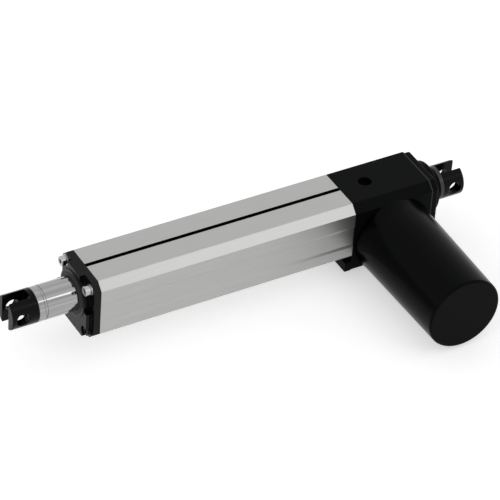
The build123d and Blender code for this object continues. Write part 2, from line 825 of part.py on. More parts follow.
with BuildPart() as drive_nut:
    body = screw_outline(
        (nut_x, screw_radius + thread_gap),
        (nut_x, nut_diameter / 2),
        (ring_groove_x, nut_diameter / 2),
        (ring_groove_x, guide_ring_groove),
        (ring_groove_x + guide_ring_length, guide_ring_groove),
        (ring_groove_x + guide_ring_length, nut_diameter / 2),
        (nut_x + nut_length, nut_diameter / 2),
        (nut_x + nut_length, rod_radius + seat_gap),
        (rod_x, rod_radius + seat_gap),
        (rod_x, screw_radius + thread_gap),
    )
    revolve(body, axis=Axis.X)
    with BuildSketch(Plane.XY.offset(key_inner)):
        with Locations((key_x + key_length / 2, 0)):
            Rectangle(key_length + 2 * seat_gap, key_width + 2 * seat_gap)
    extrude(amount=-nut_diameter, mode=Mode.SUBTRACT)
drive_nut.part.label = "drive_nut"
export_step(drive_nut.part, "parts/drive_nut.step")

with BuildPart() as nut_key:
    with BuildSketch(Plane.XY.offset(key_inner)):
        with Locations((key_x + key_length / 2, 0)):
            Rectangle(key_length, key_width)
    extrude(amount=key_bottom - key_inner)
    chamfer(nut_key.edges().filter_by(Axis.Z), key_edge)
nut_key.part.label = "nut_key"
export_step(nut_key.part, "parts/nut_key.step")

with BuildPart() as nut_guide_ring:
    with BuildSketch(across(ring_groove_x)):
        Circle(bore_diameter / 2 - 2 * running_gap)
        Circle(guide_ring_groove + seat_gap, mode=Mode.SUBTRACT)
        with Locations((0, bore_diameter / 2)):
            Rectangle(guide_ring_split, 4 * guide_ring_depth, mode=Mode.SUBTRACT)
    extrude(amount=guide_ring_length)
nut_guide_ring.part.label = "nut_guide_ring"
export_step(nut_guide_ring.part, "parts/nut_guide_ring.step")

# Lead screw and what turns with it

with BuildPart() as lead_screw:
    bar = screw_outline(
        (screw_tail_x, 0),
        (screw_tail_x, journal_diameter / 2),
        (bearing_x, journal_diameter / 2),
        (bearing_x, bearing_bore / 2),
        (retainer_x, bearing_bore / 2),
        (retainer_x, screw_radius),
        (screw_front_x - guide_length - circlip_length - circlip_setback, screw_radius),
        (screw_front_x - guide_length - circlip_length - circlip_setback, journal_diameter / 2),
        (screw_front_x, journal_diameter / 2),
        (screw_front_x, 0),
    )
    revolve(bar, axis=Axis.X)
    chamfer(lead_screw.faces().sort_by(Axis.X)[-1].edges(), screw_end_edge)
    chamfer(lead_screw.faces().sort_by(Axis.X)[0].edges(), screw_end_edge)
    with BuildSketch(Plane.XY.offset(journal_diameter / 2 - wheel_key_size / 2)):
        with Locations((motor_x, 0)):
            Rectangle(wheel_width, wheel_key_size)
    extrude(amount=wheel_key_size, mode=Mode.SUBTRACT)
lead_screw.part.label = "lead_screw"
export_step(lead_screw.part, "parts/lead_screw.step")


def wheel_outline():
    """One toothed outline: straight flanks between a narrow tip and a wider root."""
    pitch_angle = 2 * math.pi / wheel_teeth
    corners = []
    for tooth in range(wheel_teeth):
        middle = tooth * pitch_angle - math.pi / 2
        for share, radius in (
            (-tooth_root_share, wheel_root_radius),
            (-tooth_tip_share, wheel_outer_radius),
            (tooth_tip_share, wheel_outer_radius),
            (tooth_root_share, wheel_root_radius),
        ):
            angle = middle + share * pitch_angle
            corners.append((radius * math.cos(angle), radius * math.sin(angle)))
    with BuildSketch(across(wheel_x)) as outline:
        with BuildLine():
            Polyline(*corners, close=True)
        make_face()
        Circle(journal_diameter / 2 + seat_gap, mode=Mode.SUBTRACT)
    return outline.sketch


toothed = wheel_outline().face().rotate(Axis.X, -wheel_twist / 2)
wheel_solid = Solid.extrude_linear_with_rotation(
    toothed, (wheel_x, 0, 0), (wheel_width, 0, 0), wheel_twist
)

with BuildPart() as worm_wheel:
    add(wheel_solid)
    with BuildSketch(Plane.XY.offset(journal_diameter / 2 - wheel_key_size / 2)):
        with Locations((motor_x, 0)):
            Rectangle(wheel_width, wheel_key_size + 2 * seat_gap)
    extrude(amount=wheel_key_size, mode=Mode.SUBTRACT)
worm_wheel.part.label = "worm_wheel"
export_step(worm_wheel.part, "parts/worm_wheel.step")

with BuildPart() as wheel_key:
    with BuildSketch(Plane.XY.offset(journal_diameter / 2 - wheel_key_size / 2)):
        with Locations((motor_x, 0)):
            Rectangle(wheel_width, wheel_key_size)
    extrude(amount=wheel_key_size - seat_gap)
wheel_key.part.label = "wheel_key"
export_step(wheel_key.part, "parts/wheel_key.step")

with BuildPart() as spacer_sleeve:
    sleeve = ring_outline(across(spacer_x), sleeve_diameter / 2, journal_diameter / 2 + seat_gap)
    extrude(sleeve, amount=bearing_x - spacer_x)
spacer_sleeve.part.label = "spacer_sleeve"
export_step(spacer_sleeve.part, "parts/spacer_sleeve.step")

with BuildPart() as screw_end_nut:
    with BuildSketch(across(wheel_x - screw_nut_length)):
        RegularPolygon(screw_nut_across / 2, 6, major_radius=False)
        Circle(journal_diameter / 2 + seat_gap, mode=Mode.SUBTRACT)
    extrude(amount=screw_nut_length)
screw_end_nut.part.label = "screw_end_nut"
export_step(screw_end_nut.part, "parts/screw_end_nut.step")

guide_x = screw_front_x - guide_length - circlip_length - circlip_setback

with BuildPart() as screw_front_guide:
    guide = ring_outline(
        across(guide_x), rod_bore / 2 - 2 * running_gap, journal_diameter / 2 + seat_gap
    )
    extrude(guide, amount=guide_length)
screw_front_guide.part.label = "screw_front_guide"
export_step(screw_front_guide.part, "parts/screw_front_guide.step")

with BuildPart() as screw_circlip:
    with BuildSketch(across(guide_x + guide_length)):
        Circle(circlip_diameter / 2)
        Circle(journal_diameter / 2 + seat_gap, mode=Mode.SUBTRACT)
        with Locations((0, circlip_diameter / 2)):
            Rectangle(circlip_mouth_width, 2 * circlip_mouth_depth, mode=Mode.SUBTRACT)
    extrude(amount=circlip_length)
screw_circlip.part.label = "screw_circlip"
export_step(screw_circlip.part, "parts/screw_circlip.step")

# Worm, its bushes and the motor's armature

with BuildSketch(across_motor(worm_y)) as worm_section:
    with Locations((0, worm_eccentric)):
        Circle(worm_pitch_diameter / 2)

worm_solid = Solid.extrude_linear_with_rotation(
    worm_section.sketch.face(),
    (motor_x, worm_y, motor_z),
    (0, worm_length, 0),
    360 * worm_turns,
)

with BuildPart() as worm:
    add(worm_solid)
    with BuildSketch(across_motor(worm_y)):
        Circle(worm_shaft_diameter / 2 + seat_gap)
    extrude(amount=worm_length, mode=Mode.SUBTRACT)
worm.part.label = "worm"
export_step(worm.part, "parts/worm.step")

shaft_end_y = end_bush_y + end_bush_length

with BuildPart() as armature_shaft:
    shaft = motor_outline(
        (far_bush_y + worm_shaft_end_gap, 0),
        (far_bush_y + worm_shaft_end_gap, worm_shaft_diameter / 2),
        (-worm_y, worm_shaft_diameter / 2),
        (-worm_y, motor_shaft_diameter / 2),
        (shaft_end_y, motor_shaft_diameter / 2),
        (shaft_end_y, 0),
    )
    revolve(shaft, axis=motor_axis)
armature_shaft.part.label = "armature_shaft"
export_step(armature_shaft.part, "parts/armature_shaft.step")

with BuildPart() as worm_far_bush:
    bush = ring_outline(
        across_motor(far_bush_y), worm_bush_diameter / 2, worm_shaft_diameter / 2 + running_gap
    )
    extrude(bush, amount=far_bush_length)
worm_far_bush.part.label = "worm_far_bush"
export_step(worm_far_bush.part, "parts/worm_far_bush.step")

with BuildPart() as worm_near_bush:
    bush = ring_outline(
        across_motor(near_bush_y), worm_bush_diameter / 2, motor_shaft_diameter / 2 + running_gap
    )
    extrude(bush, amount=near_bush_length)
worm_near_bush.part.label = "worm_near_bush"
export_step(worm_near_bush.part, "parts/worm_near_bush.step")

rotor_radius = motor_can_diameter / 2 - motor_can_wall - magnet_thickness - air_gap

with BuildPart() as rotor_core:
    with BuildSketch(across_motor(rotor_start_y)):
        Circle(rotor_radius)
        Circle(motor_shaft_diameter / 2 + seat_gap, mode=Mode.SUBTRACT)
        with PolarLocations(rotor_radius - slot_depth / 2, rotor_slots):
            SlotOverall(slot_depth - slot_inset, slot_width, mode=Mode.SUBTRACT)
        with PolarLocations(rotor_radius, rotor_slots):
            Rectangle(2 * slot_mouth_depth, slot_mouth_width, mode=Mode.SUBTRACT)
    extrude(amount=rotor_end_y - rotor_start_y)
rotor_core.part.label = "rotor_core"
export_step(rotor_core.part, "parts/rotor_core.step")

winding_outer = rotor_radius - winding_inset
winding_inner = winding_outer - slot_depth + winding_thickness + slot_inset

with BuildPart() as windings:
    for start_y in (rotor_start_y - winding_overhang, rotor_end_y):
        with BuildSketch(across_motor(start_y)):
            Circle(winding_outer)
            Circle(winding_inner, mode=Mode.SUBTRACT)
        extrude(amount=winding_overhang)
    with BuildSketch(across_motor(rotor_start_y)):
        with PolarLocations(rotor_radius - slot_depth / 2, rotor_slots):
            SlotOverall(slot_depth - slot_inset - winding_gap, slot_width - 2 * slide_gap)
    extrude(amount=rotor_end_y - rotor_start_y)
    edges = windings.edges().filter_by(GeomType.CIRCLE).group_by(SortBy.RADIUS)[-1]
    fillet(edges.group_by(Axis.Y)[0] + edges.group_by(Axis.Y)[-1], winding_thickness)
windings.part.label = "windings"
export_step(windings.part, "parts/windings.step")

with BuildPart() as commutator:
    with BuildSketch(across_motor(commutator_y)):
        Circle(commutator_diameter / 2)
        Circle(motor_shaft_diameter / 2 + seat_gap, mode=Mode.SUBTRACT)
        with PolarLocations(commutator_diameter / 2, segments):
            Rectangle(2 * segment_cut_depth, segment_cut, mode=Mode.SUBTRACT)
    extrude(amount=commutator_length)
commutator.part.label = "commutator"
export_step(commutator.part, "parts/commutator.step")

# Motor casing and what stands still in it

can_radius = motor_can_diameter / 2

with BuildPart() as motor_flange:
    with BuildSketch(across_motor(half_body)):
        Circle(can_radius)
        Circle(motor_shaft_diameter / 2 + flange_bore_gap, mode=Mode.SUBTRACT)
    extrude(amount=can_start_y - half_body - motor_flange_length)
    with BuildSketch(across_motor(can_start_y - motor_flange_length)):
        Circle(spigot_diameter / 2)
        Circle(motor_shaft_diameter / 2 + flange_bore_gap, mode=Mode.SUBTRACT)
        with PolarLocations(spigot_diameter / 2, 4, start_angle=45):
            Circle(flange_notch_radius, mode=Mode.SUBTRACT)
    extrude(amount=motor_flange_length)
motor_flange.part.label = "motor_flange"
export_step(motor_flange.part, "parts/motor_flange.step")

with BuildPart() as motor_can:
    can = ring_outline(across_motor(can_start_y - motor_flange_length), can_radius, can_radius - motor_can_wall)
    extrude(can, amount=can_end_y - can_start_y + motor_flange_length)
motor_can.part.label = "motor_can"
export_step(motor_can.part, "parts/motor_can.step")

with BuildPart() as motor_magnets:
    magnet = motor_outline(
        (magnet_start_y, can_radius - motor_can_wall - magnet_thickness),
        (magnet_start_y, can_radius - motor_can_wall - seat_gap),
        (magnet_end_y, can_radius - motor_can_wall - seat_gap),
        (magnet_end_y, can_radius - motor_can_wall - magnet_thickness),
    )
    for turn in (0, 180):
        first = magnet.rotate(motor_axis, turn - magnet_sweep / 2)
        revolve(first, axis=motor_axis, revolution_arc=magnet_sweep)
motor_magnets.part.label = "motor_magnets"
export_step(motor_magnets.part, "parts/motor_magnets.step")

brush_inner = commutator_diameter / 2 + slide_gap
brush_y = commutator_y + commutator_length / 2

with BuildPart() as brush_holder:
    with BuildSketch(across_motor(holder_y)):
        Circle(can_radius - motor_can_wall - seat_gap)
        Circle(commutator_diameter / 2 + holder_ring_gap, mode=Mode.SUBTRACT)
    extrude(amount=holder_length)
    with BuildSketch(across_motor(holder_y + holder_length)):
        for side in (-1, 1):
            with Locations((side * (brush_inner + brush_length / 2 + holder_arm_offset), 0)):
                Rectangle(brush_length, brush_width + 2 * holder_wall)
    extrude(amount=brush_width + 2 * holder_wall)
    with BuildSketch(across_motor(brush_y - brush_width / 2)):
        Rectangle(2 * can_radius, brush_width + 2 * seat_gap)
    extrude(amount=brush_width, mode=Mode.SUBTRACT)
brush_holder.part.label = "brush_holder"
export_step(brush_holder.part, "parts/brush_holder.step")

with BuildPart() as motor_brushes:
    with BuildSketch(across_motor(brush_y - brush_width / 2 + seat_gap)):
        for side in (-1, 1):
            with Locations((side * (brush_inner + brush_length / 2), 0)):
                Rectangle(brush_length, brush_width)
    extrude(amount=brush_width - 2 * seat_gap)
motor_brushes.part.label = "motor_brushes"
export_step(motor_brushes.part, "parts/motor_brushes.step")

with BuildPart() as motor_end_plate:
    with BuildSketch(across_motor(end_bush_y)):
        Circle(can_radius - motor_can_wall - seat_gap)
        Circle(end_bush_diameter / 2 + seat_gap, mode=Mode.SUBTRACT)
    extrude(amount=end_bush_length)
motor_end_plate.part.label = "motor_end_plate"
export_step(motor_end_plate.part, "parts/motor_end_plate.step")

with BuildPart() as motor_end_bush:
    bush = ring_outline(
        across_motor(end_bush_y), end_bush_diameter / 2, motor_shaft_diameter / 2 + running_gap
    )
    extrude(bush, amount=end_bush_length)
motor_end_bush.part.label = "motor_end_bush"
export_step(motor_end_bush.part, "parts/motor_end_bush.step")

cover_inner_base = cover_base_radius - cover_wall
cover_inner_end = cover_end_radius - cover_wall
cover_floor_y = cover_end_y - cover_end_wall
flare_arc = (cover_flare**2 + cover_flare_length**2) / (2 * cover_flare)

with BuildPart() as motor_cover:
    with BuildSketch(Plane(origin=(motor_x, 0, motor_z), x_dir=(0, 1, 0), z_dir=(1, 0, 0))):
        with BuildLine():
            Polyline(
                (half_body + cover_rim, cover_flare_radius),
                (half_body, cover_flare_radius),
                (half_body, 0),
                (cover_end_y, 0),
                (cover_end_y, cover_end_radius),
                (half_body + cover_rim + cover_flare_length, cover_base_radius),
            )
            RadiusArc(
                (half_body + cover_rim, cover_flare_radius),
                (half_body + cover_rim + cover_flare_length, cover_base_radius),
                -flare_arc,
            )
        make_face()
    revolve(axis=motor_axis)
    fillet(motor_cover.faces().sort_by(Axis.Y)[-1].edges(), cover_end_round)
    hollow = motor_outline(
        (half_body, 0),
        (half_body, cover_inner_base),
        (cover_floor_y, cover_inner_end),
        (cover_floor_y, 0),
    )
    revolve(hollow, axis=motor_axis, mode=Mode.SUBTRACT)
    with BuildSketch(across_motor(can_end_y)):
        Circle(cover_inner_end + cover_wall / 2)
        Circle(motor_can_diameter / 2 - motor_can_wall, mode=Mode.SUBTRACT)
    extrude(amount=cover_floor_y + end_gap - can_end_y)
motor_cover.part.label = "motor_cover"
export_step(motor_cover.part, "parts/motor_cover.step")
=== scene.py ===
"""Looks of the electric linear actuator: finishes, small modelled details, studio and camera."""

import logging
import math
from dataclasses import dataclass, replace
from enum import Enum
from functools import cache
from typing import Sequence

import bmesh
import bpy
from mathutils import Matrix, Vector


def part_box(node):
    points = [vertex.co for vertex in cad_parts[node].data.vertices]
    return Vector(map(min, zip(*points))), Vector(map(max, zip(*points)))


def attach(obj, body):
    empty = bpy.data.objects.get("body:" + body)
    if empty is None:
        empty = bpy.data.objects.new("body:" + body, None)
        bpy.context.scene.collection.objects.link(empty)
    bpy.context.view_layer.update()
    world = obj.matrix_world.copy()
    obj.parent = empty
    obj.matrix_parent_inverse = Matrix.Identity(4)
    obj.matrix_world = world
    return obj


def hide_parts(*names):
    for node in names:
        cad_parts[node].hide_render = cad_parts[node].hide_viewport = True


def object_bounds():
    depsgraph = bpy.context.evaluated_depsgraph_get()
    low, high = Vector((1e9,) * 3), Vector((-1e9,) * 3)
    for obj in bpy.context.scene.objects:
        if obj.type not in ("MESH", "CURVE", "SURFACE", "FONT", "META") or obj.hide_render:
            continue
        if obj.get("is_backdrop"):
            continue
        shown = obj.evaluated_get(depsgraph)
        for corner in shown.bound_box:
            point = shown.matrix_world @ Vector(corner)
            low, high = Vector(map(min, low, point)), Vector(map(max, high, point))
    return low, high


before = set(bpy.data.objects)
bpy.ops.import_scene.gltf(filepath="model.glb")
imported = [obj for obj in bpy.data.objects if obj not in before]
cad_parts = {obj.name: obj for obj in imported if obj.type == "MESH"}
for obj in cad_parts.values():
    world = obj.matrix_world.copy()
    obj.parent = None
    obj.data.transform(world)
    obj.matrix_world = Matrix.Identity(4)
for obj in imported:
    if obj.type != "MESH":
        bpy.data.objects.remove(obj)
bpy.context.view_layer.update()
MM = 0.001
MERGE_DISTANCE = 1e-7
SHARP_ANGLE = math.radians(35.0)
PEBBLE_SHARE = 0.5
BEVEL_SAMPLES = 6
WAY_X, WAY_Y, WAY_Z = Vector((1.0, 0.0, 0.0)), Vector((0.0, 1.0, 0.0)), Vector((0.0, 0.0, 1.0))

log = logging.getLogger("actuator")

Colour = tuple[float, float, float]
Tree = bpy.types.ShaderNodeTree
Socket = bpy.types.NodeSocket
Mesh = bmesh.types.BMesh


class Body(Enum):
    """The rigid bodies that the modelled pieces ride on."""

    HOUSING = "housing"
    SCREW = "screw"
    ARMATURE = "armature"


class Grain(Enum):
    """Way in which a surface's fine marks run."""

    NONE = (1.0, 1.0, 1.0)
    ALONG_X = (0.02, 1.0, 1.0)
    AROUND_X = (1.0, 0.02, 0.02)
    AROUND_Y = (0.02, 1.0, 0.02)


def node_box(name: str) -> tuple[Vector, Vector]:
    """Gives a CAD node's lowest and highest corners as vectors, in metres."""
    low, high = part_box(name)
    return Vector(low), Vector(high)


def math_node(tree: Tree, operation: str, *values: Socket | float, clamp: bool = False) -> Socket:
    """Adds a math node.

    Args:
        tree: Node tree to add to.
        operation: What the node does.
        values: A socket or a constant for each input, in order.
        clamp: True to keep the result between 0 and 1.

    Returns:
        The node's result.
    """
    node = tree.nodes.new("ShaderNodeMath")
    node.operation = operation
    node.use_clamp = clamp
    for socket, value in zip(node.inputs, values):
        if isinstance(value, bpy.types.NodeSocket):
            tree.links.new(value, socket)
        else:
            socket.default_value = value
    return node.outputs[0]


# Shared effects: shader node groups that more than one finish uses, each built once


def start_group(
    name: str, inputs: dict[str, float], outputs: dict[str, str]
) -> tuple[Tree, bpy.types.Node, bpy.types.Node]:
    """Starts a group with named sockets.

    Args:
        name: Name of the group.
        inputs: Name and default of each input, all of them numbers.
        outputs: Name and socket type of each output.

    Returns:
        The tree, its input node and its output node.
    """
    tree = bpy.data.node_groups.new(name, "ShaderNodeTree")
    for label, default in inputs.items():
        socket = tree.interface.new_socket(name=label, in_out="INPUT", socket_type="NodeSocketFloat")
        socket.default_value = default
    for label, kind in outputs.items():
        tree.interface.new_socket(name=label, in_out="OUTPUT", socket_type=kind)
    return tree, tree.nodes.new("NodeGroupInput"), tree.nodes.new("NodeGroupOutput")


@cache
def grain_group() -> Tree:
    """Builds the fine grain: stretched noise over the object's own coordinates.

    Returns:
        The group, with inputs Scale, Along X, Along Y, Along Z and Detail and output Value.
    """
    tree, entry, leave = start_group(
        "fine_grain",
        {"Scale": 900.0, "Along X": 1.0, "Along Y": 1.0, "Along Z": 1.0, "Detail": 3.0},
        {"Value": "NodeSocketFloat"},
    )
    nodes, links = tree.nodes, tree.links
    place = nodes.new("ShaderNodeTexCoord")
    stretch = nodes.new("ShaderNodeCombineXYZ")
    for axis in ("X", "Y", "Z"):
        links.new(entry.outputs["Along " + axis], stretch.inputs[axis])
    scaled = nodes.new("ShaderNodeVectorMath")
    scaled.operation = "MULTIPLY"
    links.new(place.outputs["Object"], scaled.inputs[0])
    links.new(stretch.outputs[0], scaled.inputs[1])
    noise = nodes.new("ShaderNodeTexNoise")
    links.new(scaled.outputs[0], noise.inputs["Vector"])
    links.new(entry.outputs["Scale"], noise.inputs["Scale"])
    links.new(entry.outputs["Detail"], noise.inputs["Detail"])
    links.new(noise.outputs["Fac"], leave.inputs["Value"])
    return tree


@cache
def pebble_group() -> Tree:
    """Builds the pebbled skin of powder coat and castings.

    Returns:
        The group, with input Scale and output Value.
    """
    tree, entry, leave = start_group("pebbled_skin", {"Scale": 1400.0}, {"Value": "NodeSocketFloat"})
    nodes, links = tree.nodes, tree.links
    place = nodes.new("ShaderNodeTexCoord")
    pebbles = nodes.new("ShaderNodeTexVoronoi")
    pebbles.feature = "SMOOTH_F1"
    noise = nodes.new("ShaderNodeTexNoise")
    for texture in (pebbles, noise):
        links.new(place.outputs["Object"], texture.inputs["Vector"])
        links.new(entry.outputs["Scale"], texture.inputs["Scale"])
    both = math_node(tree, "MULTIPLY_ADD", pebbles.outputs["Distance"], PEBBLE_SHARE, noise.outputs["Fac"])
    links.new(both, leave.inputs["Value"])
    return tree


@cache
def edge_group() -> Tree:
    """Builds the worn edge: rounded normals, and a mask where they leave the flat ones.

    Returns:
        The group, with inputs Radius and Gain and outputs Mask and Normal.
    """
    tree, entry, leave = start_group(
        "worn_edge",
        {"Radius": 0.0004, "Gain": 3.0},
        {"Mask": "NodeSocketFloat", "Normal": "NodeSocketVector"},
    )
    nodes, links = tree.nodes, tree.links
    rounded = nodes.new("ShaderNodeBevel")
    rounded.samples = BEVEL_SAMPLES
    links.new(entry.outputs["Radius"], rounded.inputs["Radius"])
    flat = nodes.new("ShaderNodeNewGeometry")
    along = nodes.new("ShaderNodeVectorMath")
    along.operation = "DOT_PRODUCT"
    links.new(rounded.outputs[0], along.inputs[0])
    links.new(flat.outputs["Normal"], along.inputs[1])
    apart = math_node(tree, "SUBTRACT", 1.0, along.outputs["Value"])
    gained = math_node(tree, "MULTIPLY", apart, entry.outputs["Gain"], clamp=True)
    links.new(gained, leave.inputs["Mask"])
    links.new(rounded.outputs[0], leave.inputs["Normal"])
    return tree


@cache
def shade_zone_group() -> Tree:
    """Builds the mask of painted shade: 1 between two heights and within a half width of the middle, all
    along X.

    Returns:
        The group, with inputs Half Width, Low and High and output Mask.
    """
    tree, entry, leave = start_group(
        "painted_shade_mask", {"Half Width": 0.003, "Low": 0.0, "High": 0.01}, {"Mask": "NodeSocketFloat"}
    )
    place = tree.nodes.new("ShaderNodeTexCoord")
    split = tree.nodes.new("ShaderNodeSeparateXYZ")
    tree.links.new(place.outputs["Object"], split.inputs[0])
    beside = math_node(tree, "ABSOLUTE", split.outputs["Y"])
    narrow = math_node(tree, "LESS_THAN", beside, entry.outputs["Half Width"])
    above = math_node(tree, "GREATER_THAN", split.outputs["Z"], entry.outputs["Low"])
    below = math_node(tree, "LESS_THAN", split.outputs["Z"], entry.outputs["High"])
    held = math_node(tree, "MULTIPLY", math_node(tree, "MULTIPLY", narrow, above), below)
    tree.links.new(held, leave.inputs["Mask"])
    return tree


# Finishes


@dataclass(frozen=True)
class Finish:
    """One finish: its colours, its gloss, the marks that its making and use leave, and painted shade in a
    zone where one is given.

    Args:
        name: Name of the material.
        slot: Its material slot in the record; not used.
        colour: Colour of the surface, as linear values.
        worn: Colour that shows along worn edges.
        metallic: 1 for bare metal, 0 for paint, plastic and rubber.
        roughness: Roughness of the surface.
        variation: Share by which the grain moves the roughness.
        specular: Strength of the reflection where it isn't metal.
        edge_radius: Radius of the rounded edges, in metres.
        edge_wear: How strongly the worn colour shows on edges.
        grain: Way in which the fine marks run.
        grain_scale: Fineness of the marks.
        bump: Height of the marks, in metres.
        pebbled: True for the pebbled skin of a coat or casting.
        coat: Weight of a clear coat.
        tone: Share by which the marks move the colour; on the chromed rod it is strong, and its streaks are
            painted reflection.
        shade_zone: Half width, lowest and highest z, in metres, of a zone whose colour is replaced by painted
            shade, or None.
        painted_shade: Colour of the painted shade in that zone.
    """

    name: str
    slot: str
    colour: Colour
    worn: Colour
    metallic: float = 0.0
    roughness: float = 0.5
    variation: float = 0.2
    specular: float = 0.5
    edge_radius: float = 0.0004
    edge_wear: float = 0.3
    grain: Grain = Grain.NONE
    grain_scale: float = 900.0
    bump: float = 0.00001
    pebbled: bool = False
    coat: float = 0.0
    tone: float = 0.12
    shade_zone: tuple[float, float, float] | None = None
    painted_shade: Colour = (0.012, 0.012, 0.012)

    @staticmethod
    def _place(tree: Tree, group: Tree, **values: float) -> bpy.types.Node:
        """Places a shared effect in a material's tree.

        Args:
            tree: The material's node tree.
            group: The shared effect.
            values: Value of each input to set, named in small letters with low lines for spaces.

        Returns:
            The new group node.
        """
        node = tree.nodes.new("ShaderNodeGroup")
        node.node_tree = group
        for label, value in values.items():
            node.inputs[label.replace("_", " ").title()].default_value = value
        return node

    @staticmethod
    def _ranged(tree: Tree, value: Socket, middle: float, share: float) -> Socket:
        """Maps a value from 0 to 1 onto a band around a middle.

        Args:
            tree: The material's node tree.
            value: The value to map.
            middle: Middle of the band.
            share: Share of the middle that the band reaches to either side.

        Returns:
            The mapped value.
        """
        node = tree.nodes.new("ShaderNodeMapRange")
        node.inputs["To Min"].default_value = middle * (1.0 - share)
        node.inputs["To Max"].default_value = middle * (1.0 + share)
        tree.links.new(value, node.inputs["Value"])
        return node.outputs[0]

    @staticmethod
    def _over(tree: Tree, mask: Socket, under: Socket, colour: Colour) -> Socket:
        """Lays a plain colour over another one by a mask.

        Args:
            tree: The material's node tree.
            mask: 1 where the plain colour covers.
            under: The colour below.
            colour: The plain colour.

        Returns:
            The colour that results.
        """
        node = tree.nodes.new("ShaderNodeMix")
        node.data_type = "RGBA"
        tree.links.new(mask, node.inputs["Factor"])
        tree.links.new(under, node.inputs["A"])
        node.inputs["B"].default_value = (*colour, 1.0)
        return node.outputs["Result"]

    def _marks(self, tree: Tree) -> Socket:
        """Adds the marks of this finish.

        Args:
            tree: The material's node tree.

        Returns:
            The socket whose value changes over the surface.
        """
        if self.pebbled:
            return self._place(tree, pebble_group(), scale=self.grain_scale).outputs["Value"]
        x, y, z = self.grain.value
        grain = self._place(tree, grain_group(), scale=self.grain_scale, along_x=x, along_y=y, along_z=z)
        return grain.outputs["Value"]

    def _colour(self, tree: Tree, marks: Socket, edge: Socket) -> Socket:
        """Adds the colour, with its marks, its worn edges and the painted shade in its shade zone.

        Args:
            tree: The material's node tree.
            marks: Value that changes over the surface.
            edge: Mask of the edges.

        Returns:
            The colour socket to use.
        """
        shade = tree.nodes.new("ShaderNodeMix")
        shade.data_type = "RGBA"
        shade.blend_type = "MULTIPLY"
        shade.inputs["Factor"].default_value = 1.0
        shade.inputs["A"].default_value = (*self.colour, 1.0)
        tree.links.new(self._ranged(tree, marks, 1.0, self.tone), shade.inputs["B"])
        wear = math_node(tree, "MULTIPLY", edge, self.edge_wear, clamp=True)
        colour = self._over(tree, wear, shade.outputs["Result"], self.worn)
        if self.shade_zone is None:
            return colour
        # Painted shade: near black laid over the colour inside the zone.
        half, low, high = self.shade_zone
        mask = self._place(tree, shade_zone_group(), half_width=half, low=low, high=high)
        return self._over(tree, mask.outputs["Mask"], colour, self.painted_shade)

    def build(self) -> bpy.types.Material:
        """Makes the material, or gives the one already made.

        Returns:
            The material.
        """
        if self.name in bpy.data.materials:
            return bpy.data.materials[self.name]
        material = bpy.data.materials.new(self.name)
        material.use_nodes = True
        tree = material.node_tree
        nodes, links = tree.nodes, tree.links
        nodes.clear()
        surface = nodes.new("ShaderNodeBsdfPrincipled")
        leave = nodes.new("ShaderNodeOutputMaterial")
        links.new(surface.outputs[0], leave.inputs["Surface"])
        surface.inputs["Metallic"].default_value = self.metallic
        surface.inputs["Specular IOR Level"].default_value = self.specular
        surface.inputs["Coat Weight"].default_value = self.coat
        marks = self._marks(tree)
        edge = self._place(tree, edge_group(), radius=self.edge_radius)
        links.new(self._colour(tree, marks, edge.outputs["Mask"]), surface.inputs["Base Color"])
        links.new(self._ranged(tree, marks, self.roughness, self.variation), surface.inputs["Roughness"])
        relief = nodes.new("ShaderNodeBump")
        relief.inputs["Strength"].default_value = 1.0
        relief.inputs["Distance"].default_value = self.bump
        links.new(marks, relief.inputs["Height"])
        links.new(edge.outputs["Normal"], relief.inputs["Normal"])
        links.new(relief.outputs[0], surface.inputs["Normal"])
        return material

    def dress(self, *names: str) -> None:
        """Gives this finish to CAD nodes.

        Args:
            names: Names of the CAD nodes.
        """
        material = self.build()
        for name in names:
            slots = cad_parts[name].data.materials
            slots.clear()
            slots.append(material)
            log.info("%s: %s", name, self.name)


# The tube's slot is painted with shade: near black inside it, from 20.5 mm up to the top face.
ANODISED = Finish(
    "anodised_extrusion", "anodised_aluminium", (0.43, 0.43, 0.425), (0.6, 0.6, 0.6), metallic=1.0,
    roughness=0.36, variation=0.1, edge_wear=0.25, grain=Grain.ALONG_X, grain_scale=1600.0, bump=4e-6,
    shade_zone=(0.0034, 0.0205, 0.02496),
)
POWDER_COAT = Finish(
    "black_powder_coat", "black_casting", (0.0022, 0.0028, 0.0025), (0.02, 0.02, 0.02),
    roughness=0.45, variation=0.12, specular=0.035, edge_radius=0.0007, pebbled=True,
    grain_scale=1500.0, bump=2e-5,
)
ENAMEL_COAT = Finish(
    "black_enamel_coat", "black_casting", (0.002, 0.0024, 0.0022), (0.02, 0.02, 0.02),
    roughness=0.24, variation=0.3, specular=0.12, edge_radius=0.0009, pebbled=True,
    grain_scale=420.0, bump=6e-5,
)
MOULDED_COVER = Finish(
    "moulded_motor_cover", "cover_plastic", (0.0006, 0.0008, 0.001), (0.004, 0.0045, 0.005),
    roughness=0.22, variation=0.1, specular=0.045, edge_radius=0.0008, edge_wear=0.1, pebbled=True,
    grain_scale=2600.0, bump=4e-6,
)
BLACK_STEEL = Finish(
    "black_coated_steel", "black_steel", (0.0008, 0.0009, 0.001), (0.04, 0.04, 0.04),
    roughness=0.2, variation=0.15, specular=0.1, edge_radius=0.0006, edge_wear=0.2, grain_scale=1200.0,
    bump=8e-6,
)
DULLED_STEEL = Finish(
    "dulled_steel", "bright_steel", (0.05, 0.05, 0.052), (0.3, 0.3, 0.3), metallic=1.0, roughness=0.34,
    edge_wear=0.25, grain=Grain.AROUND_X, grain_scale=1400.0, bump=4e-6,
)
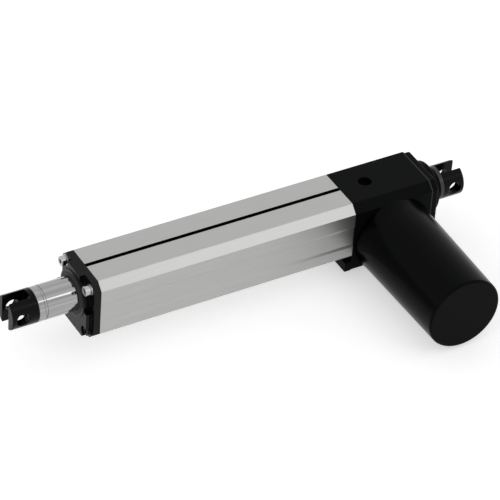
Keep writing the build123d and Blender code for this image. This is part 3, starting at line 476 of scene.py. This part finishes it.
# The strong tone paints light and dark streaks along the chromed rod: painted reflection of dark surroundings
# on top of its fine grain.
CHROME = Finish(
    "chromed_rod", "chrome_rod", (0.34, 0.34, 0.345), (0.5, 0.5, 0.5), metallic=1.0, roughness=0.07,
    variation=0.25, edge_wear=0.1, grain=Grain.ALONG_X, grain_scale=260.0, bump=1.5e-6, tone=0.55,
)
ZINC_STEEL = Finish(
    "bright_zinc_steel", "bright_steel", (0.46, 0.46, 0.45), (0.65, 0.65, 0.64), metallic=1.0,
    roughness=0.26, grain_scale=1400.0, bump=4e-6,
)
# The lower front screws and washers, sitting in counterbores, are painted with shade: near black below z = 0,
# while the upper ones stay bright.
FRONT_SCREW_STEEL = replace(ZINC_STEEL, name="front_screw_steel", shade_zone=(0.03, -0.04, 0.0))
BRONZE = Finish(
    "machined_bronze", "bronze", (0.55, 0.35, 0.15), (0.75, 0.55, 0.3), metallic=1.0, roughness=0.3,
    edge_wear=0.4, grain=Grain.AROUND_X, grain_scale=1600.0, bump=4e-6,
)
COPPER = Finish(
    "enamelled_copper", "copper", (0.55, 0.2, 0.09), (0.8, 0.45, 0.28), metallic=1.0, roughness=0.28,
    edge_wear=0.2, grain=Grain.AROUND_Y, grain_scale=2200.0, bump=2e-5, coat=0.4,
)
SINTERED = Finish(
    "sintered_magnet", "magnet", (0.03, 0.03, 0.033), (0.12, 0.12, 0.12), metallic=0.6, roughness=0.5,
    grain_scale=1600.0,
)
RUBBER = Finish(
    "seal_rubber", "seal_rubber", (0.009, 0.009, 0.0095), (0.02, 0.02, 0.02), roughness=0.6,
    specular=0.3, edge_wear=0.1, pebbled=True, grain_scale=2200.0,
)
BLACK_PLASTIC = Finish(
    "black_moulding", "black_plastic", (0.008, 0.008, 0.008), (0.02, 0.02, 0.02), roughness=0.5,
    specular=0.35, edge_wear=0.15, pebbled=True, grain_scale=1800.0, bump=8e-6,
)
ACETAL = Finish(
    "white_acetal", "white_plastic", (0.72, 0.71, 0.67), (0.8, 0.79, 0.76), roughness=0.42,
    edge_wear=0.2, bump=6e-6,
)
BOARD = Finish(
    "green_board", "board_green", (0.015, 0.09, 0.035), (0.3, 0.25, 0.1), roughness=0.35,
    grain_scale=700.0, coat=0.5,
)


# Modelled details


def make_piece(name: str, mesh: Mesh, finish: Finish, body: Body, smooth: bool = True) -> bpy.types.Object:
    """Makes an object from mesh data, dresses it and lets it ride.

    Args:
        name: Name of the piece.
        mesh: The mesh data, which is freed here.
        finish: Finish of the piece.
        body: Body that it rides on.
        smooth: True to shade curved faces smoothly.

    Returns:
        The new object.
    """
    bmesh.ops.remove_doubles(mesh, verts=mesh.verts, dist=MERGE_DISTANCE)
    bmesh.ops.recalc_face_normals(mesh, faces=mesh.faces)
    data = bpy.data.meshes.new(name)
    mesh.to_mesh(data)
    mesh.free()
    piece = bpy.data.objects.new(name, data)
    bpy.context.scene.collection.objects.link(piece)
    data.materials.append(finish.build())
    if smooth:
        data.shade_smooth()
        data.set_sharp_from_angle(angle=SHARP_ANGLE)
    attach(piece, body.value)
    log.info("%s: %d faces on %s", name, len(data.polygons), body.value)
    return piece


def skin(rows: Sequence[Sequence[Vector]], mesh: Mesh | None = None, looped: bool = False) -> Mesh:
    """Joins rows of points, which are closed loops, into a skin with capped ends.

    Args:
        rows: The loops, each with the same number of points.
        mesh: Mesh data to add to, or None for new mesh data.
        looped: True if the last row joins the first, so that there are no ends.

    Returns:
        The mesh data.
    """
    mesh = mesh or bmesh.new()
    made = [[mesh.verts.new(point) for point in row] for row in rows]
    count = len(made[0])
    for here, there in zip(made, made[1:] + (made[:1] if looped else [])):
        for i in range(count):
            j = (i + 1) % count
            mesh.faces.new((here[i], here[j], there[j], there[i]))
    if not looped:
        mesh.faces.new(list(reversed(made[0])))
        mesh.faces.new(made[-1])
    return mesh


def spoke(side: Vector, other: Vector, turn: float, radius: float) -> Vector:
    """Gives the vector to a point at a radius and at an angle from side towards other."""
    return side * (radius * math.cos(turn)) + other * (radius * math.sin(turn))


def circle(centre: Vector, side: Vector, other: Vector, radius: float, steps: int) -> list[Vector]:
    """Gives the points of a circle in the plane of two directions."""
    turns = (math.tau * step / steps for step in range(steps))
    return [centre + spoke(side, other, turn, radius) for turn in turns]


def ring(start: Vector, axis: Vector, profile: Sequence[tuple[float, float]], steps: int = 64) -> Mesh:
    """Turns a closed profile about an axis.

    Args:
        start: Point on the axis that distances are measured from.
        axis: Direction of the axis.
        profile: Distance along the axis and radius of each corner, in metres.
        steps: Number of steps around.

    Returns:
        The mesh data.
    """
    side = axis.orthogonal().normalized()
    other = axis.cross(side)
    rows = []
    for step in range(steps):
        out = spoke(side, other, math.tau * step / steps, 1.0)
        rows.append([start + axis * place + out * radius for place, radius in profile])
    return skin(rows, looped=True)


def wire(path: Sequence[Vector], radius: float, mesh: Mesh | None = None, steps: int = 8) -> Mesh:
    """Sweeps a round wire along a path.

    Args:
        path: Points that the wire runs through.
        radius: Radius of the wire, in metres.
        mesh: Mesh data to add to, or None for new mesh data.
        steps: Number of points around the wire.

    Returns:
        The mesh data.
    """
    rows = []
    side = None
    for index, point in enumerate(path):
        ahead = path[min(index + 1, len(path) - 1)]
        behind = path[max(index - 1, 0)]
        along = (ahead - behind).normalized()
        side = along.orthogonal() if side is None else side - along * side.dot(along)
        side.normalize()
        rows.append(circle(point, side, along.cross(side), radius, steps))
    return skin(rows, mesh)


def block(low: Vector, size: Sequence[float], edge: float, mesh: Mesh) -> None:
    """Builds a block with chamfered upright edges and a chamfered top.

    Args:
        low: Lowest corner, in metres.
        size: Lengths along x, y and z, in metres.
        edge: Size of the chamfers, in metres.
        mesh: Mesh data to add to.
    """
    high = low + Vector(size)
    rows = []
    for height, inset in ((low.z, 0.0), (high.z - edge, 0.0), (high.z, edge)):
        x0, x1, y0, y1 = low.x + inset, high.x - inset, low.y + inset, high.y - inset
        corners = (
            (x0 + edge, y0), (x1 - edge, y0), (x1, y0 + edge), (x1, y1 - edge),
            (x1 - edge, y1), (x0 + edge, y1), (x0, y1 - edge), (x0, y0 + edge),
        )
        rows.append([Vector((x, y, height)) for x, y in corners])
    skin(rows, mesh)


@dataclass(frozen=True)
class CapScrew:
    """A socket head cap screw that looks along +X.

    Args:
        head: Radius of the head.
        length: Length of the head.
        stem: Radius of the shank.
        socket: Radius of the hexagon socket, at its corners.
        edge: Share of the head's radius that its chamfer takes.
        mouth: Radius of the socket's round mouth, as a share of the socket's.
        lip: Depth of that mouth.
        floor: Height of the socket's floor, as a share of the head's length.
        steps: Number of points around.
    """

    head: float
    length: float
    stem: float
    socket: float
    edge: float = 0.1
    mouth: float = 1.12
    lip: float = 0.2 * MM
    floor: float = 0.4
    steps: int = 48

    def _hexagon(self, centre: Vector) -> list[Vector]:
        """Gives the outline of the socket.

        Args:
            centre: Middle of the outline.

        Returns:
            The points of the outline.
        """
        points = []
        for step in range(self.steps):
            turn = math.tau * step / self.steps
            within = (turn % (math.pi / 3.0)) - math.pi / 6.0
            reach = self.socket * math.cos(math.pi / 6.0) / math.cos(within)
            points.append(centre + spoke(WAY_Y, WAY_Z, turn, reach))
        return points

    def add(self, seat: Vector, shank: float, mesh: Mesh) -> None:
        """Builds the screw.

        Args:
            seat: Middle of the face that the head sits on.
            shank: Length of the shank behind that face.
            mesh: Mesh data to add to.
        """
        edge = self.edge * self.head
        turned = (
            (-shank, self.stem), (0.0, self.stem), (0.0, self.head), (self.length - edge, self.head),
            (self.length, self.head - edge), (self.length, self.socket * self.mouth),
        )
        rows = [
            circle(seat + WAY_X * place, WAY_Y, WAY_Z, radius, self.steps) for place, radius in turned
        ]
        for place in (self.length - self.lip, self.length * self.floor):
            rows.append(self._hexagon(seat + WAY_X * place))
        skin(rows, mesh)


@dataclass
class Tube:
    """The grooved tube with its front plate, bush, wiper and switch gear.

    Args:
        chips: Start and length along the board, and height, of each block on it.
        chip_width: Width of the blocks.
        chip_side: Distance of the blocks from the board's middle.
        chip_edge: Size of their chamfers.
        trace_rows: Place of each copper trace across the board.
        trace_margin: Distance of the traces from the board's ends.
        trace_width: Width of the traces.
        trace_height: Height of the traces above the board.
        pads: Number of solder pads along the board.
        pad_radius: Radius of a pad.
        pad_row: Place of the pads across the board.
        pad_margin: Distance of the outer pads from the board's ends.
        pad_profile: Heights on a pad, each with its share of the radius.
        pad_steps: Number of points around a pad.
        pin_places: Place of each contact pin, as a share of the switch's length.
        pin_size: Lengths of a pin.
        pin_edge: Size of its chamfers.
        screw_offset: Distance of the front screws from the plate's middle, both ways.
        upper_screw: The screws on lock rings, in the open notches.
        lower_screw: The screws in the counterbores.
        lock_ring: Thickness of the split ring under each upper head.
        lock_inner: Inner radius of that ring.
        lock_inset: Distance of its edge from the washer's edge.
        lock_gap: Share of its thickness that stays free on each side.
        lock_turns: First angle of that ring and its step, in degrees, and the number of angles.
    """

    chips: tuple[tuple[float, float, float], ...] = (
        (8 * MM, 12 * MM, 3.4 * MM), (26 * MM, 12 * MM, 3.4 * MM), (46 * MM, 7 * MM, 1.6 * MM),
        (60 * MM, 4 * MM, 1.2 * MM), (70 * MM, 4 * MM, 1.2 * MM), (190 * MM, 9 * MM, 2.0 * MM),
    )
    chip_width: float = 5 * MM
    chip_side: float = 5.2 * MM
    chip_edge: float = 0.3 * MM
    trace_rows: tuple[float, ...] = (-2.0 * MM, 0.0, 2.0 * MM)
    trace_margin: float = 4 * MM
    trace_width: float = 0.8 * MM
    trace_height: float = 0.06 * MM
    pads: int = 14
    pad_radius: float = 0.7 * MM
    pad_row: float = 4.6 * MM
    pad_margin: float = 6 * MM
    pad_profile: tuple[tuple[float, float], ...] = ((0.0, 1.0), (0.3 * MM, 0.7), (0.5 * MM, 0.2))
    pad_steps: int = 16
    pin_places: tuple[float, ...] = (0.2, 0.5, 0.8)
    pin_size: tuple[float, float, float] = (0.8 * MM, 0.5 * MM, 3 * MM)
    pin_edge: float = 0.1 * MM
    screw_offset: float = 21.5 * MM
    upper_screw: CapScrew = CapScrew(head=4.3 * MM, length=3.9 * MM, stem=2.05 * MM, socket=2.3 * MM)
    lower_screw: CapScrew = CapScrew(head=4.3 * MM, length=2.4 * MM, stem=2.05 * MM, socket=2.3 * MM)
    lock_ring: float = 1.1 * MM
    lock_inner: float = 2.3 * MM
    lock_inset: float = 1.0 * MM
    lock_gap: float = 0.05
    lock_turns: tuple[float, float, int] = (12.0, 8.0, 43)

    def dress(self) -> None:
        """Gives the nodes of the tube their finishes."""
        ANODISED.dress("outer_tube")
        ENAMEL_COAT.dress("front_end_plate")
        FRONT_SCREW_STEEL.dress("front_plate_screws", "front_plate_washers")
        BLACK_PLASTIC.dress("guide_bush", "rear_limit_switch", "front_limit_switch")
        RUBBER.dress("wiper_seal")
        BOARD.dress("switch_board")

    def _lock_ring(self, seat: Vector, outer: float, mesh: Mesh) -> None:
        """Builds a split lock ring.

        Args:
            seat: Middle of the washer's face.
            outer: Outer radius of the ring.
            mesh: Mesh data to add to.
        """
        near = WAY_X * (self.lock_gap * self.lock_ring)
        far = WAY_X * ((1.0 - self.lock_gap) * self.lock_ring)
        first, step, count = self.lock_turns
        rows = []
        for index in range(count):
            way = spoke(WAY_Y, WAY_Z, math.radians(first + step * index), 1.0)
            inside, outside = seat + way * self.lock_inner, seat + way * outer
            rows.append([inside + near, outside + near, outside + far, inside + far])
        skin(rows, mesh)

    def front_screws(self) -> None:
        """Builds the four cap screws of the front plate, the upper ones on split lock rings."""
        low, high = node_box("front_plate_washers")
        tips = node_box("front_plate_screws")[0].x
        reach = self.screw_offset
        washer = (high.y - low.y) / 2 - reach
        middle = (low.z + high.z) / 2
        screws, rings = bmesh.new(), bmesh.new()
        for side in (-1, 1):
            seat = Vector((high.x, side * reach, middle - reach))
            self.lower_screw.add(seat, high.x - tips, screws)
            seat = Vector((high.x, side * reach, middle + reach))
            self.upper_screw.add(seat + WAY_X * self.lock_ring, high.x + self.lock_ring - tips, screws)
            self._lock_ring(seat, washer - self.lock_inset, rings)
        # The lower two screws get painted shade from their finish.
        screws_piece = make_piece("front_cap_screws", screws, FRONT_SCREW_STEEL, Body.HOUSING)
        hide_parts("front_plate_screws")
        make_piece("front_lock_rings", rings, ZINC_STEEL, Body.HOUSING)

    def board_parts(self) -> None:
        """Sets blocks, traces and solder pads on the switch board, clear of the key's path."""
        low, high = node_box("switch_board")
        whole = high.x - low.x
        blocks, traces, pads = bmesh.new(), bmesh.new(), bmesh.new()
        for start, length, height in self.chips:
            corner = Vector((low.x + start, -self.chip_side - self.chip_width, high.z))
            block(corner, (length, self.chip_width, height), self.chip_edge, blocks)
        for row in self.trace_rows:
            corner = Vector((low.x + self.trace_margin, row, high.z))
            size = (whole - 2 * self.trace_margin, self.trace_width, self.trace_height)
            block(corner, size, self.trace_height / 4, traces)
        for index in range(self.pads):
            x = low.x + self.pad_margin + index * (whole - 2 * self.pad_margin) / (self.pads - 1)
            rows = []
            for lift, share in self.pad_profile:
                centre = Vector((x, self.pad_row, high.z + lift))
                rows.append(circle(centre, WAY_X, WAY_Y, self.pad_radius * share, self.pad_steps))
            skin(rows, pads)
        make_piece("board_blocks", blocks, BLACK_PLASTIC, Body.HOUSING, smooth=False)
        make_piece("board_traces", traces, COPPER, Body.HOUSING, smooth=False)
        make_piece("board_solder", pads, ZINC_STEEL, Body.HOUSING)

    def switch_pins(self) -> None:
        """Adds the contact pins under the plunger side of each limit switch."""
        for name in ("rear_limit_switch", "front_limit_switch"):
            low, high = node_box(name)
            pins = bmesh.new()
            for share in self.pin_places:
                x = low.x + share * (high.x - low.x) - self.pin_size[0] / 2
                block(Vector((x, high.y, low.z)), self.pin_size, self.pin_edge, pins)
            make_piece(name + "_pins", pins, ZINC_STEEL, Body.HOUSING, smooth=False)

    def build(self) -> None:
        """Builds the details of the tube."""
        self.dress()
        self.front_screws()
        self.board_parts()
        self.switch_pins()


@dataclass
class Gearbox:
    """The gearbox housing with its rear cover, bearings and rear fork.

    Args:
        shield_inner: Inner radius of the bearing's shields.
        shield_outer: Outer radius of the shields.
        shield_thickness: Thickness of a shield.
        shield_sink: Distance of a shield from the bearing's face.
    """

    shield_inner: float = 10.6 * MM
    shield_outer: float = 14.4 * MM
    shield_thickness: float = 0.4 * MM
    shield_sink: float = 0.3 * MM

    def dress(self) -> None:
        """Gives the nodes of the gearbox their finishes."""
        POWDER_COAT.dress("gearbox_housing", "rear_cover")
        RUBBER.dress("cover_gasket")
        BLACK_STEEL.dress("rear_fork", "rear_cover_screws")
        DULLED_STEEL.dress("rear_fork_ring")
        ZINC_STEEL.dress(
            "gearbox_tube_screws", "rear_fork_nut", "main_bearing_outer", "main_bearing_balls",
            "bearing_retainer",
        )
        BRONZE.dress("rear_screw_bush", "worm_far_bush", "worm_near_bush")

    def shields(self) -> None:
        """Closes the gap between the bearing's rings on both faces."""
        low, high = node_box("main_bearing_outer")
        thick, inner, outer = self.shield_thickness, self.shield_inner, self.shield_outer
        profile = ((0.0, inner), (0.0, outer), (thick, outer), (thick, inner))
        for name, x in (
            ("rear_bearing_shield", low.x + self.shield_sink),
            ("front_bearing_shield", high.x - self.shield_sink - thick),
        ):
            mesh = ring(Vector((x, 0.0, 0.0)), WAY_X, profile)
            make_piece(name, mesh, ZINC_STEEL, Body.HOUSING)

    def build(self) -> None:
        """Builds the details of the gearbox."""
        self.dress()
        self.shields()


@dataclass
class Rod:
    """The chromed rod with its nut, collar and front fork."""

    def dress(self) -> None:
        """Gives the nodes of the rod their finishes."""
        CHROME.dress("push_tube", "rod_end_collar")
        BLACK_STEEL.dress("front_fork")
        ACETAL.dress("drive_nut")
        ZINC_STEEL.dress("nut_key")
        BLACK_PLASTIC.dress("nut_guide_ring")

    def build(self) -> None:
        """Builds the details of the rod."""
        self.dress()


@dataclass
class Screw:
    """The lead screw with its wheel, key, bearing ring and guide.

    Args:
        lead: Distance that the thread climbs in a turn.
        root: Radius at the thread's root.
        crest: Radius at its crest.
        journal: Radius of the plain ends.
        end_edge: Size of the chamfers at both ends.
        seat: Radius of the bearing seat.
        steps: Steps around a turn.
        keyway_half: Half width of the keyway.
        keyway_floor: Height of its floor above the axis.
        thread_sink: Depth by which the thread reaches into the core.
        thread_start: Distance of the thread from the bearing.
        thread_end: Distance of the thread from the front guide.
        foot: Places along the screw where a turn's flanks leave the core.
        top: Places along the screw where the crest starts and ends.
    """

    lead: float = 4 * MM
    root: float = 6.3 * MM
    crest: float = 7.95 * MM
    journal: float = 5 * MM
    end_edge: float = 1 * MM
    seat: float = 7.5 * MM
    steps: int = 48
    keyway_half: float = 1.5 * MM
    keyway_floor: float = 3.5 * MM
    thread_sink: float = 0.2 * MM
    thread_start: float = 0.5 * MM
    thread_end: float = 0.2 * MM
    foot: tuple[float, float] = (0.5 * MM, 3.1 * MM)
    top: tuple[float, float] = (1.1 * MM, 2.5 * MM)

    def dress(self) -> None:
        """Gives the nodes of the screw their finishes."""
        ZINC_STEEL.dress(
            "lead_screw", "wheel_key", "main_bearing_inner", "spacer_sleeve", "screw_end_nut", "screw_circlip"
        )
        BRONZE.dress("worm_wheel")
        ACETAL.dress("screw_front_guide")

    def _section(self, x: float, radius: float, keyway: bool = False) -> list[Vector]:
        """Gives one round section of the core.

        Args:
            x: Place along the screw.
            radius: Radius of the section.
            keyway: True to cut the keyway into it.

        Returns:
            The points of the section.
        """
        points = circle(WAY_X * x, WAY_Y, WAY_Z, radius, 2 * self.steps)
        for point in points:
            if keyway and point.z > 0 and abs(point.y) < self.keyway_half:
                point.z = self.keyway_floor
        return points

    def core(self) -> None:
        """Builds the core with its journals, bearing seat and keyway, in place of the frame's plain bar."""
        low, high = node_box("lead_screw")
        wheel_low, wheel_high = node_box("worm_wheel")
        bearing_low, bearing_high = node_box("main_bearing_inner")
        guide = node_box("screw_front_guide")[0].x
        journal, edge = self.journal, self.end_edge
        sections = (
            (low.x, journal - edge), (low.x + edge, journal), (wheel_low.x, journal),
            (wheel_low.x, journal, True), (wheel_high.x, journal, True), (wheel_high.x, journal),
            (bearing_low.x, journal), (bearing_low.x, self.seat), (bearing_high.x, self.seat),
            (bearing_high.x, self.root), (guide, self.root), (guide, journal),
            (high.x - edge, journal), (high.x, journal - edge),
        )
        rows = [self._section(*section) for section in sections]
        core = make_piece("lead_screw_core", skin(rows), ZINC_STEEL, Body.SCREW)
        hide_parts("lead_screw")

    def thread(self) -> None:
        """Winds the right hand trapezoidal thread over the core."""
        start = node_box("main_bearing_inner")[1].x + self.thread_start
        end = node_box("screw_front_guide")[0].x - self.thread_end
        count = int((end - start - self.lead) / self.lead * self.steps)
        inner = self.root - self.thread_sink
        foot, top = self.foot, self.top
        profile = ((foot[0], inner), (top[0], self.crest), (top[1], self.crest), (foot[1], inner))
        rows = []
        for step in range(count):
            turn = math.tau * step / self.steps
            climb = start + self.lead * step / self.steps
            rows.append(
                [WAY_X * (climb + place) + spoke(WAY_Y, WAY_Z, turn, radius) for place, radius in profile]
            )
        make_piece("lead_screw_thread", skin(rows), ZINC_STEEL, Body.SCREW)

    def build(self) -> None:
        """Builds the details of the screw."""
        self.dress()
        self.core()
        self.thread()


@dataclass
class Motor:
    """The motor with its cover, magnets, armature and worm.

    Args:
        coils: Number of coils in the armature.
        strands: Strands drawn in each coil's end turn.
        strand_share: Share of a coil's pitch between two strands.
        strand_pitch: Distance between two strands.
        strand_steps: Steps along a strand.
        wire_radius: Radius of a strand.
        wire_steps: Number of points around a strand.
        span: Slots that a coil spans.
        turn_inset: Distance of the strands from the windings' edge.
        turn_dip: Bow of a strand towards the shaft.
        turn_lift: Lift of its ends off the windings' face.
        turn_bulge: Further lift of its middle.
        turn_stack: Lift shared out over the coils, so that each lies above the one before.
        spring_turns: Turns of a brush spring.
        spring_steps: Steps in a turn.
        spring_radius: Radius of a brush spring.
        spring_wire: Radius of its wire.
        spring_gap: Distance of the spring from the brush.
        spring_wall: Distance of its other end from the can's outside.
    """

    coils: int = 10
    strands: int = 3
    strand_share: float = 0.12
    strand_pitch: float = 0.8 * MM
    strand_steps: int = 12
    wire_radius: float = 0.35 * MM
    wire_steps: int = 6
    span: int = 4
    turn_inset: float = 3.6 * MM
    turn_dip: float = 1.5 * MM
    turn_lift: float = 0.2 * MM
    turn_bulge: float = 0.5 * MM
    turn_stack: float = 0.1 * MM
    spring_turns: int = 7
    spring_steps: int = 16
    spring_radius: float = 1.5 * MM
    spring_wire: float = 0.25 * MM
    spring_gap: float = 0.2 * MM
    spring_wall: float = 2.4 * MM

    def dress(self) -> None:
        """Gives the nodes of the motor their finishes."""
        MOULDED_COVER.dress("motor_cover")
        POWDER_COAT.dress("motor_flange")
        ZINC_STEEL.dress("motor_can", "motor_end_plate", "armature_shaft", "worm")
        SINTERED.dress("motor_magnets", "rotor_core", "motor_brushes")
        BRONZE.dress("motor_end_bush")
        BLACK_PLASTIC.dress("brush_holder")
        COPPER.dress("windings", "commutator")

    def _strand(self, middle: Vector, outer: float, coil: int, strand: int, way: float) -> list[Vector]:
        """Gives the path of one strand over the end of the windings.

        Args:
            middle: Middle of the windings' end face.
            outer: Radius of the windings.
            coil: Number of the coil.
            strand: Number of the strand.
            way: 1 for the end that looks along +Y, -1 for the other.

        Returns:
            The points of the path.
        """
        first = math.tau * (coil + strand * self.strand_share) / self.coils
        sweep = math.tau * self.span / self.coils
        base = outer - self.turn_inset - strand * self.strand_pitch
        stack = self.turn_lift + self.turn_stack * coil / self.coils
        path = []
        for step in range(self.strand_steps + 1):
            share = step / self.strand_steps
            bow = math.sin(math.pi * share)
            out = spoke(WAY_X, WAY_Z, first + sweep * share, base - self.turn_dip * bow)
            path.append(middle + out + WAY_Y * (way * (stack + self.turn_bulge * bow)))
        return path

    def end_turns(self) -> None:
        """Lays strands over both ends of the windings, each from one slot to another."""
        low, high = node_box("windings")
        outer = (high.z - low.z) / 2
        for name, face, way in (("far_end_turns", low.y, -1.0), ("near_end_turns", high.y, 1.0)):
            middle = Vector(((low.x + high.x) / 2, face, (low.z + high.z) / 2))
            mesh = bmesh.new()
            for coil in range(self.coils):
                for strand in range(self.strands):
                    path = self._strand(middle, outer, coil, strand, way)
                    wire(path, self.wire_radius, mesh, self.wire_steps)
            make_piece(name, mesh, COPPER, Body.ARMATURE)

    def springs(self) -> None:
        """Puts a coil spring behind each brush."""
        low, high = node_box("motor_brushes")
        can_low, can_high = node_box("motor_can")
        middle = (low + high) / 2
        count = self.spring_turns * self.spring_steps
        for name, start, end in (
            ("rear_brush_spring", low.x - self.spring_gap, can_low.x + self.spring_wall),
            ("front_brush_spring", high.x + self.spring_gap, can_high.x - self.spring_wall),
        ):
            path = []
            for step in range(count + 1):
                centre = Vector((start + (end - start) * step / count, middle.y, middle.z))
                turn = math.tau * step / self.spring_steps
                path.append(centre + spoke(WAY_Y, WAY_Z, turn, self.spring_radius))
            make_piece(name, wire(path, self.spring_wire), ZINC_STEEL, Body.HOUSING)

    def build(self) -> None:
        """Builds the details of the motor."""
        self.dress()
        self.end_turns()
        self.springs()


# Studio


@dataclass
class Studio:
    """Pale floor, soft lights and the photograph's camera.

    Args:
        azimuth: Turn of the camera about the upright axis, in degrees.
        elevation: Height of the camera above the level, in degrees.
        roll: Tilt of the picture, in degrees.
        distance: Distance from the camera to the point that it looks at.
        lens: Focal length, in millimetres.
        sensor: Width of the sensor, in millimetres.
        clip: Nearest and furthest distance that the camera sees.
        aim: Point that the camera looks at.
        floor_reach: Half length of the floor.
        floor_gap: Distance of the floor below the lowest piece.
        floor_colour: Colour of the floor.
        floor_roughness: Roughness of the floor.
        floor_glow: Glow of the floor where it is looked at.
        sky: Strength of the surround as a light.
        white: Colour of the surround.
        lamps: Name, direction, side and power of each soft lamp.
        lamp_distance: Distance of the lamps from the point aimed at.
    """

    azimuth: float = 148.0
    elevation: float = 38.79
    roll: float = 4.4
    distance: float = 2.85
    lens: float = 249.7
    sensor: float = 36.0
    clip: tuple[float, float] = (0.05, 100.0)
    aim: tuple[float, float, float] = (0.2210525, 0.0450153, 0.0301436)
    floor_reach: float = 30.0
    floor_gap: float = 0.001
    floor_colour: Colour = (0.86, 0.86, 0.86)
    floor_roughness: float = 0.9
    floor_glow: float = 0.5
    sky: float = 0.62
    white: Colour = (1.0, 1.0, 1.0)
    lamps: tuple[tuple[str, tuple[float, float, float], float, float], ...] = (
        ("key_lamp", (-0.41, 0.63, 0.66), 0.55, 2.0),
        ("side_lamp", (0.9, 0.5, 0.6), 1.0, 4.0),
    )
    lamp_distance: float = 2.2

    def _axes(self) -> tuple[Vector, Vector, Vector]:
        """Works out the camera's axes.

        Returns:
            The right, up and back directions.
        """
        turn, lift, tilt = (math.radians(angle) for angle in (self.azimuth, self.elevation, self.roll))
        back = Vector((math.sin(turn) * math.cos(lift), -math.cos(turn) * math.cos(lift), math.sin(lift)))
        level = WAY_Z.cross(back).normalized()
        right = level * math.cos(tilt) + back.cross(level) * math.sin(tilt)
        return right, back.cross(right), back

    def camera(self) -> None:
        """Places the camera that the photograph was fitted with."""
        data = bpy.data.cameras.new("photograph_camera")
        data.sensor_width = self.sensor
        data.sensor_fit = "HORIZONTAL"
        data.lens = self.lens
        data.clip_start, data.clip_end = self.clip
        camera = bpy.data.objects.new("photograph_camera", data)
        bpy.context.scene.collection.objects.link(camera)
        right, up, back = self._axes()
        place = Vector(self.aim) + back * self.distance
        turn = Matrix((right, up, back)).transposed().to_4x4()
        camera.matrix_world = Matrix.Translation(place) @ turn
        bpy.context.scene.camera = camera

    def _looked_at(self, tree: Tree) -> Socket:
        """Adds up the rays by which the surround is looked at.

        Args:
            tree: The material's or the world's node tree.

        Returns:
            A socket that gives 1 for camera, glossy and transmission rays, and 0 for lighting ones.
        """
        path = tree.nodes.new("ShaderNodeLightPath")
        total = path.outputs["Is Camera Ray"]
        for name in ("Is Glossy Ray", "Is Transmission Ray"):
            total = math_node(tree, "ADD", total, path.outputs[name], clamp=True)
        return total

    def world(self) -> None:
        """Sets an even pale surround, white where the camera or a reflection sees it."""
        world = bpy.data.worlds.new("pale_surround")
        world.use_nodes = True
        tree = world.node_tree
        tree.nodes.clear()
        choose = tree.nodes.new("ShaderNodeMixShader")
        leave = tree.nodes.new("ShaderNodeOutputWorld")
        tree.links.new(self._looked_at(tree), choose.inputs["Fac"])
        for index, strength in ((1, self.sky), (2, 1.0)):
            light = tree.nodes.new("ShaderNodeBackground")
            light.inputs["Color"].default_value = (*self.white, 1.0)
            light.inputs["Strength"].default_value = strength
            tree.links.new(light.outputs[0], choose.inputs[index])
        tree.links.new(choose.outputs[0], leave.inputs["Surface"])
        bpy.context.scene.world = world

    def _floor_material(self) -> bpy.types.Material:
        """Makes the floor's material, which glows a little where it is looked at.

        Returns:
            The material.
        """
        material = bpy.data.materials.new("pale_floor")
        material.use_nodes = True
        tree = material.node_tree
        nodes, links = tree.nodes, tree.links
        surface = nodes["Principled BSDF"]
        surface.inputs["Roughness"].default_value = self.floor_roughness
        surface.inputs["Specular IOR Level"].default_value = 0.0
        surface.inputs["Base Color"].default_value = (*self.floor_colour, 1.0)
        glow = nodes.new("ShaderNodeEmission")
        seen = math_node(tree, "MULTIPLY", self._looked_at(tree), self.floor_glow)
        links.new(seen, glow.inputs["Strength"])
        both = nodes.new("ShaderNodeAddShader")
        links.new(surface.outputs[0], both.inputs[0])
        links.new(glow.outputs[0], both.inputs[1])
        links.new(both.outputs[0], nodes["Material Output"].inputs["Surface"])
        return material

    def floor(self) -> None:
        """Lays the pale floor just under the lowest piece."""
        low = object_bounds()[0][2] - self.floor_gap
        reach = self.floor_reach
        mesh = bmesh.new()
        corners = ((-1, -1), (1, -1), (1, 1), (-1, 1))
        mesh.faces.new([mesh.verts.new((x * reach, y * reach, low)) for x, y in corners])
        data = bpy.data.meshes.new("floor")
        mesh.to_mesh(data)
        mesh.free()
        floor = bpy.data.objects.new("floor", data)
        bpy.context.scene.collection.objects.link(floor)
        data.materials.append(self._floor_material())
        floor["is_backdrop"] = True

    def lights(self) -> None:
        """Hangs the soft lamps, each aimed at the middle of the object."""
        for name, way, size, power in self.lamps:
            data = bpy.data.lights.new(name, "AREA")
            data.shape = "SQUARE"
            data.size = size
            data.energy = power
            lamp = bpy.data.objects.new(name, data)
            bpy.context.scene.collection.objects.link(lamp)
            direction = Vector(way).normalized()
            lamp.location = Vector(self.aim) + direction * self.lamp_distance
            lamp.rotation_euler = direction.to_track_quat("Z", "Y").to_euler()

    def build(self) -> None:
        """Sets up the whole studio."""
        bpy.context.scene.view_settings.view_transform = "Standard"
        self.world()
        self.floor()
        self.lights()
        self.camera()


def main() -> None:
    """Builds the actuator's looks, then the studio."""
    logging.basicConfig(level=logging.INFO, format="%(name)s %(message)s")
    for part in (Tube(), Gearbox(), Rod(), Screw(), Motor()):
        part.build()
    Studio().build()


if __name__ == "__main__":
    main()
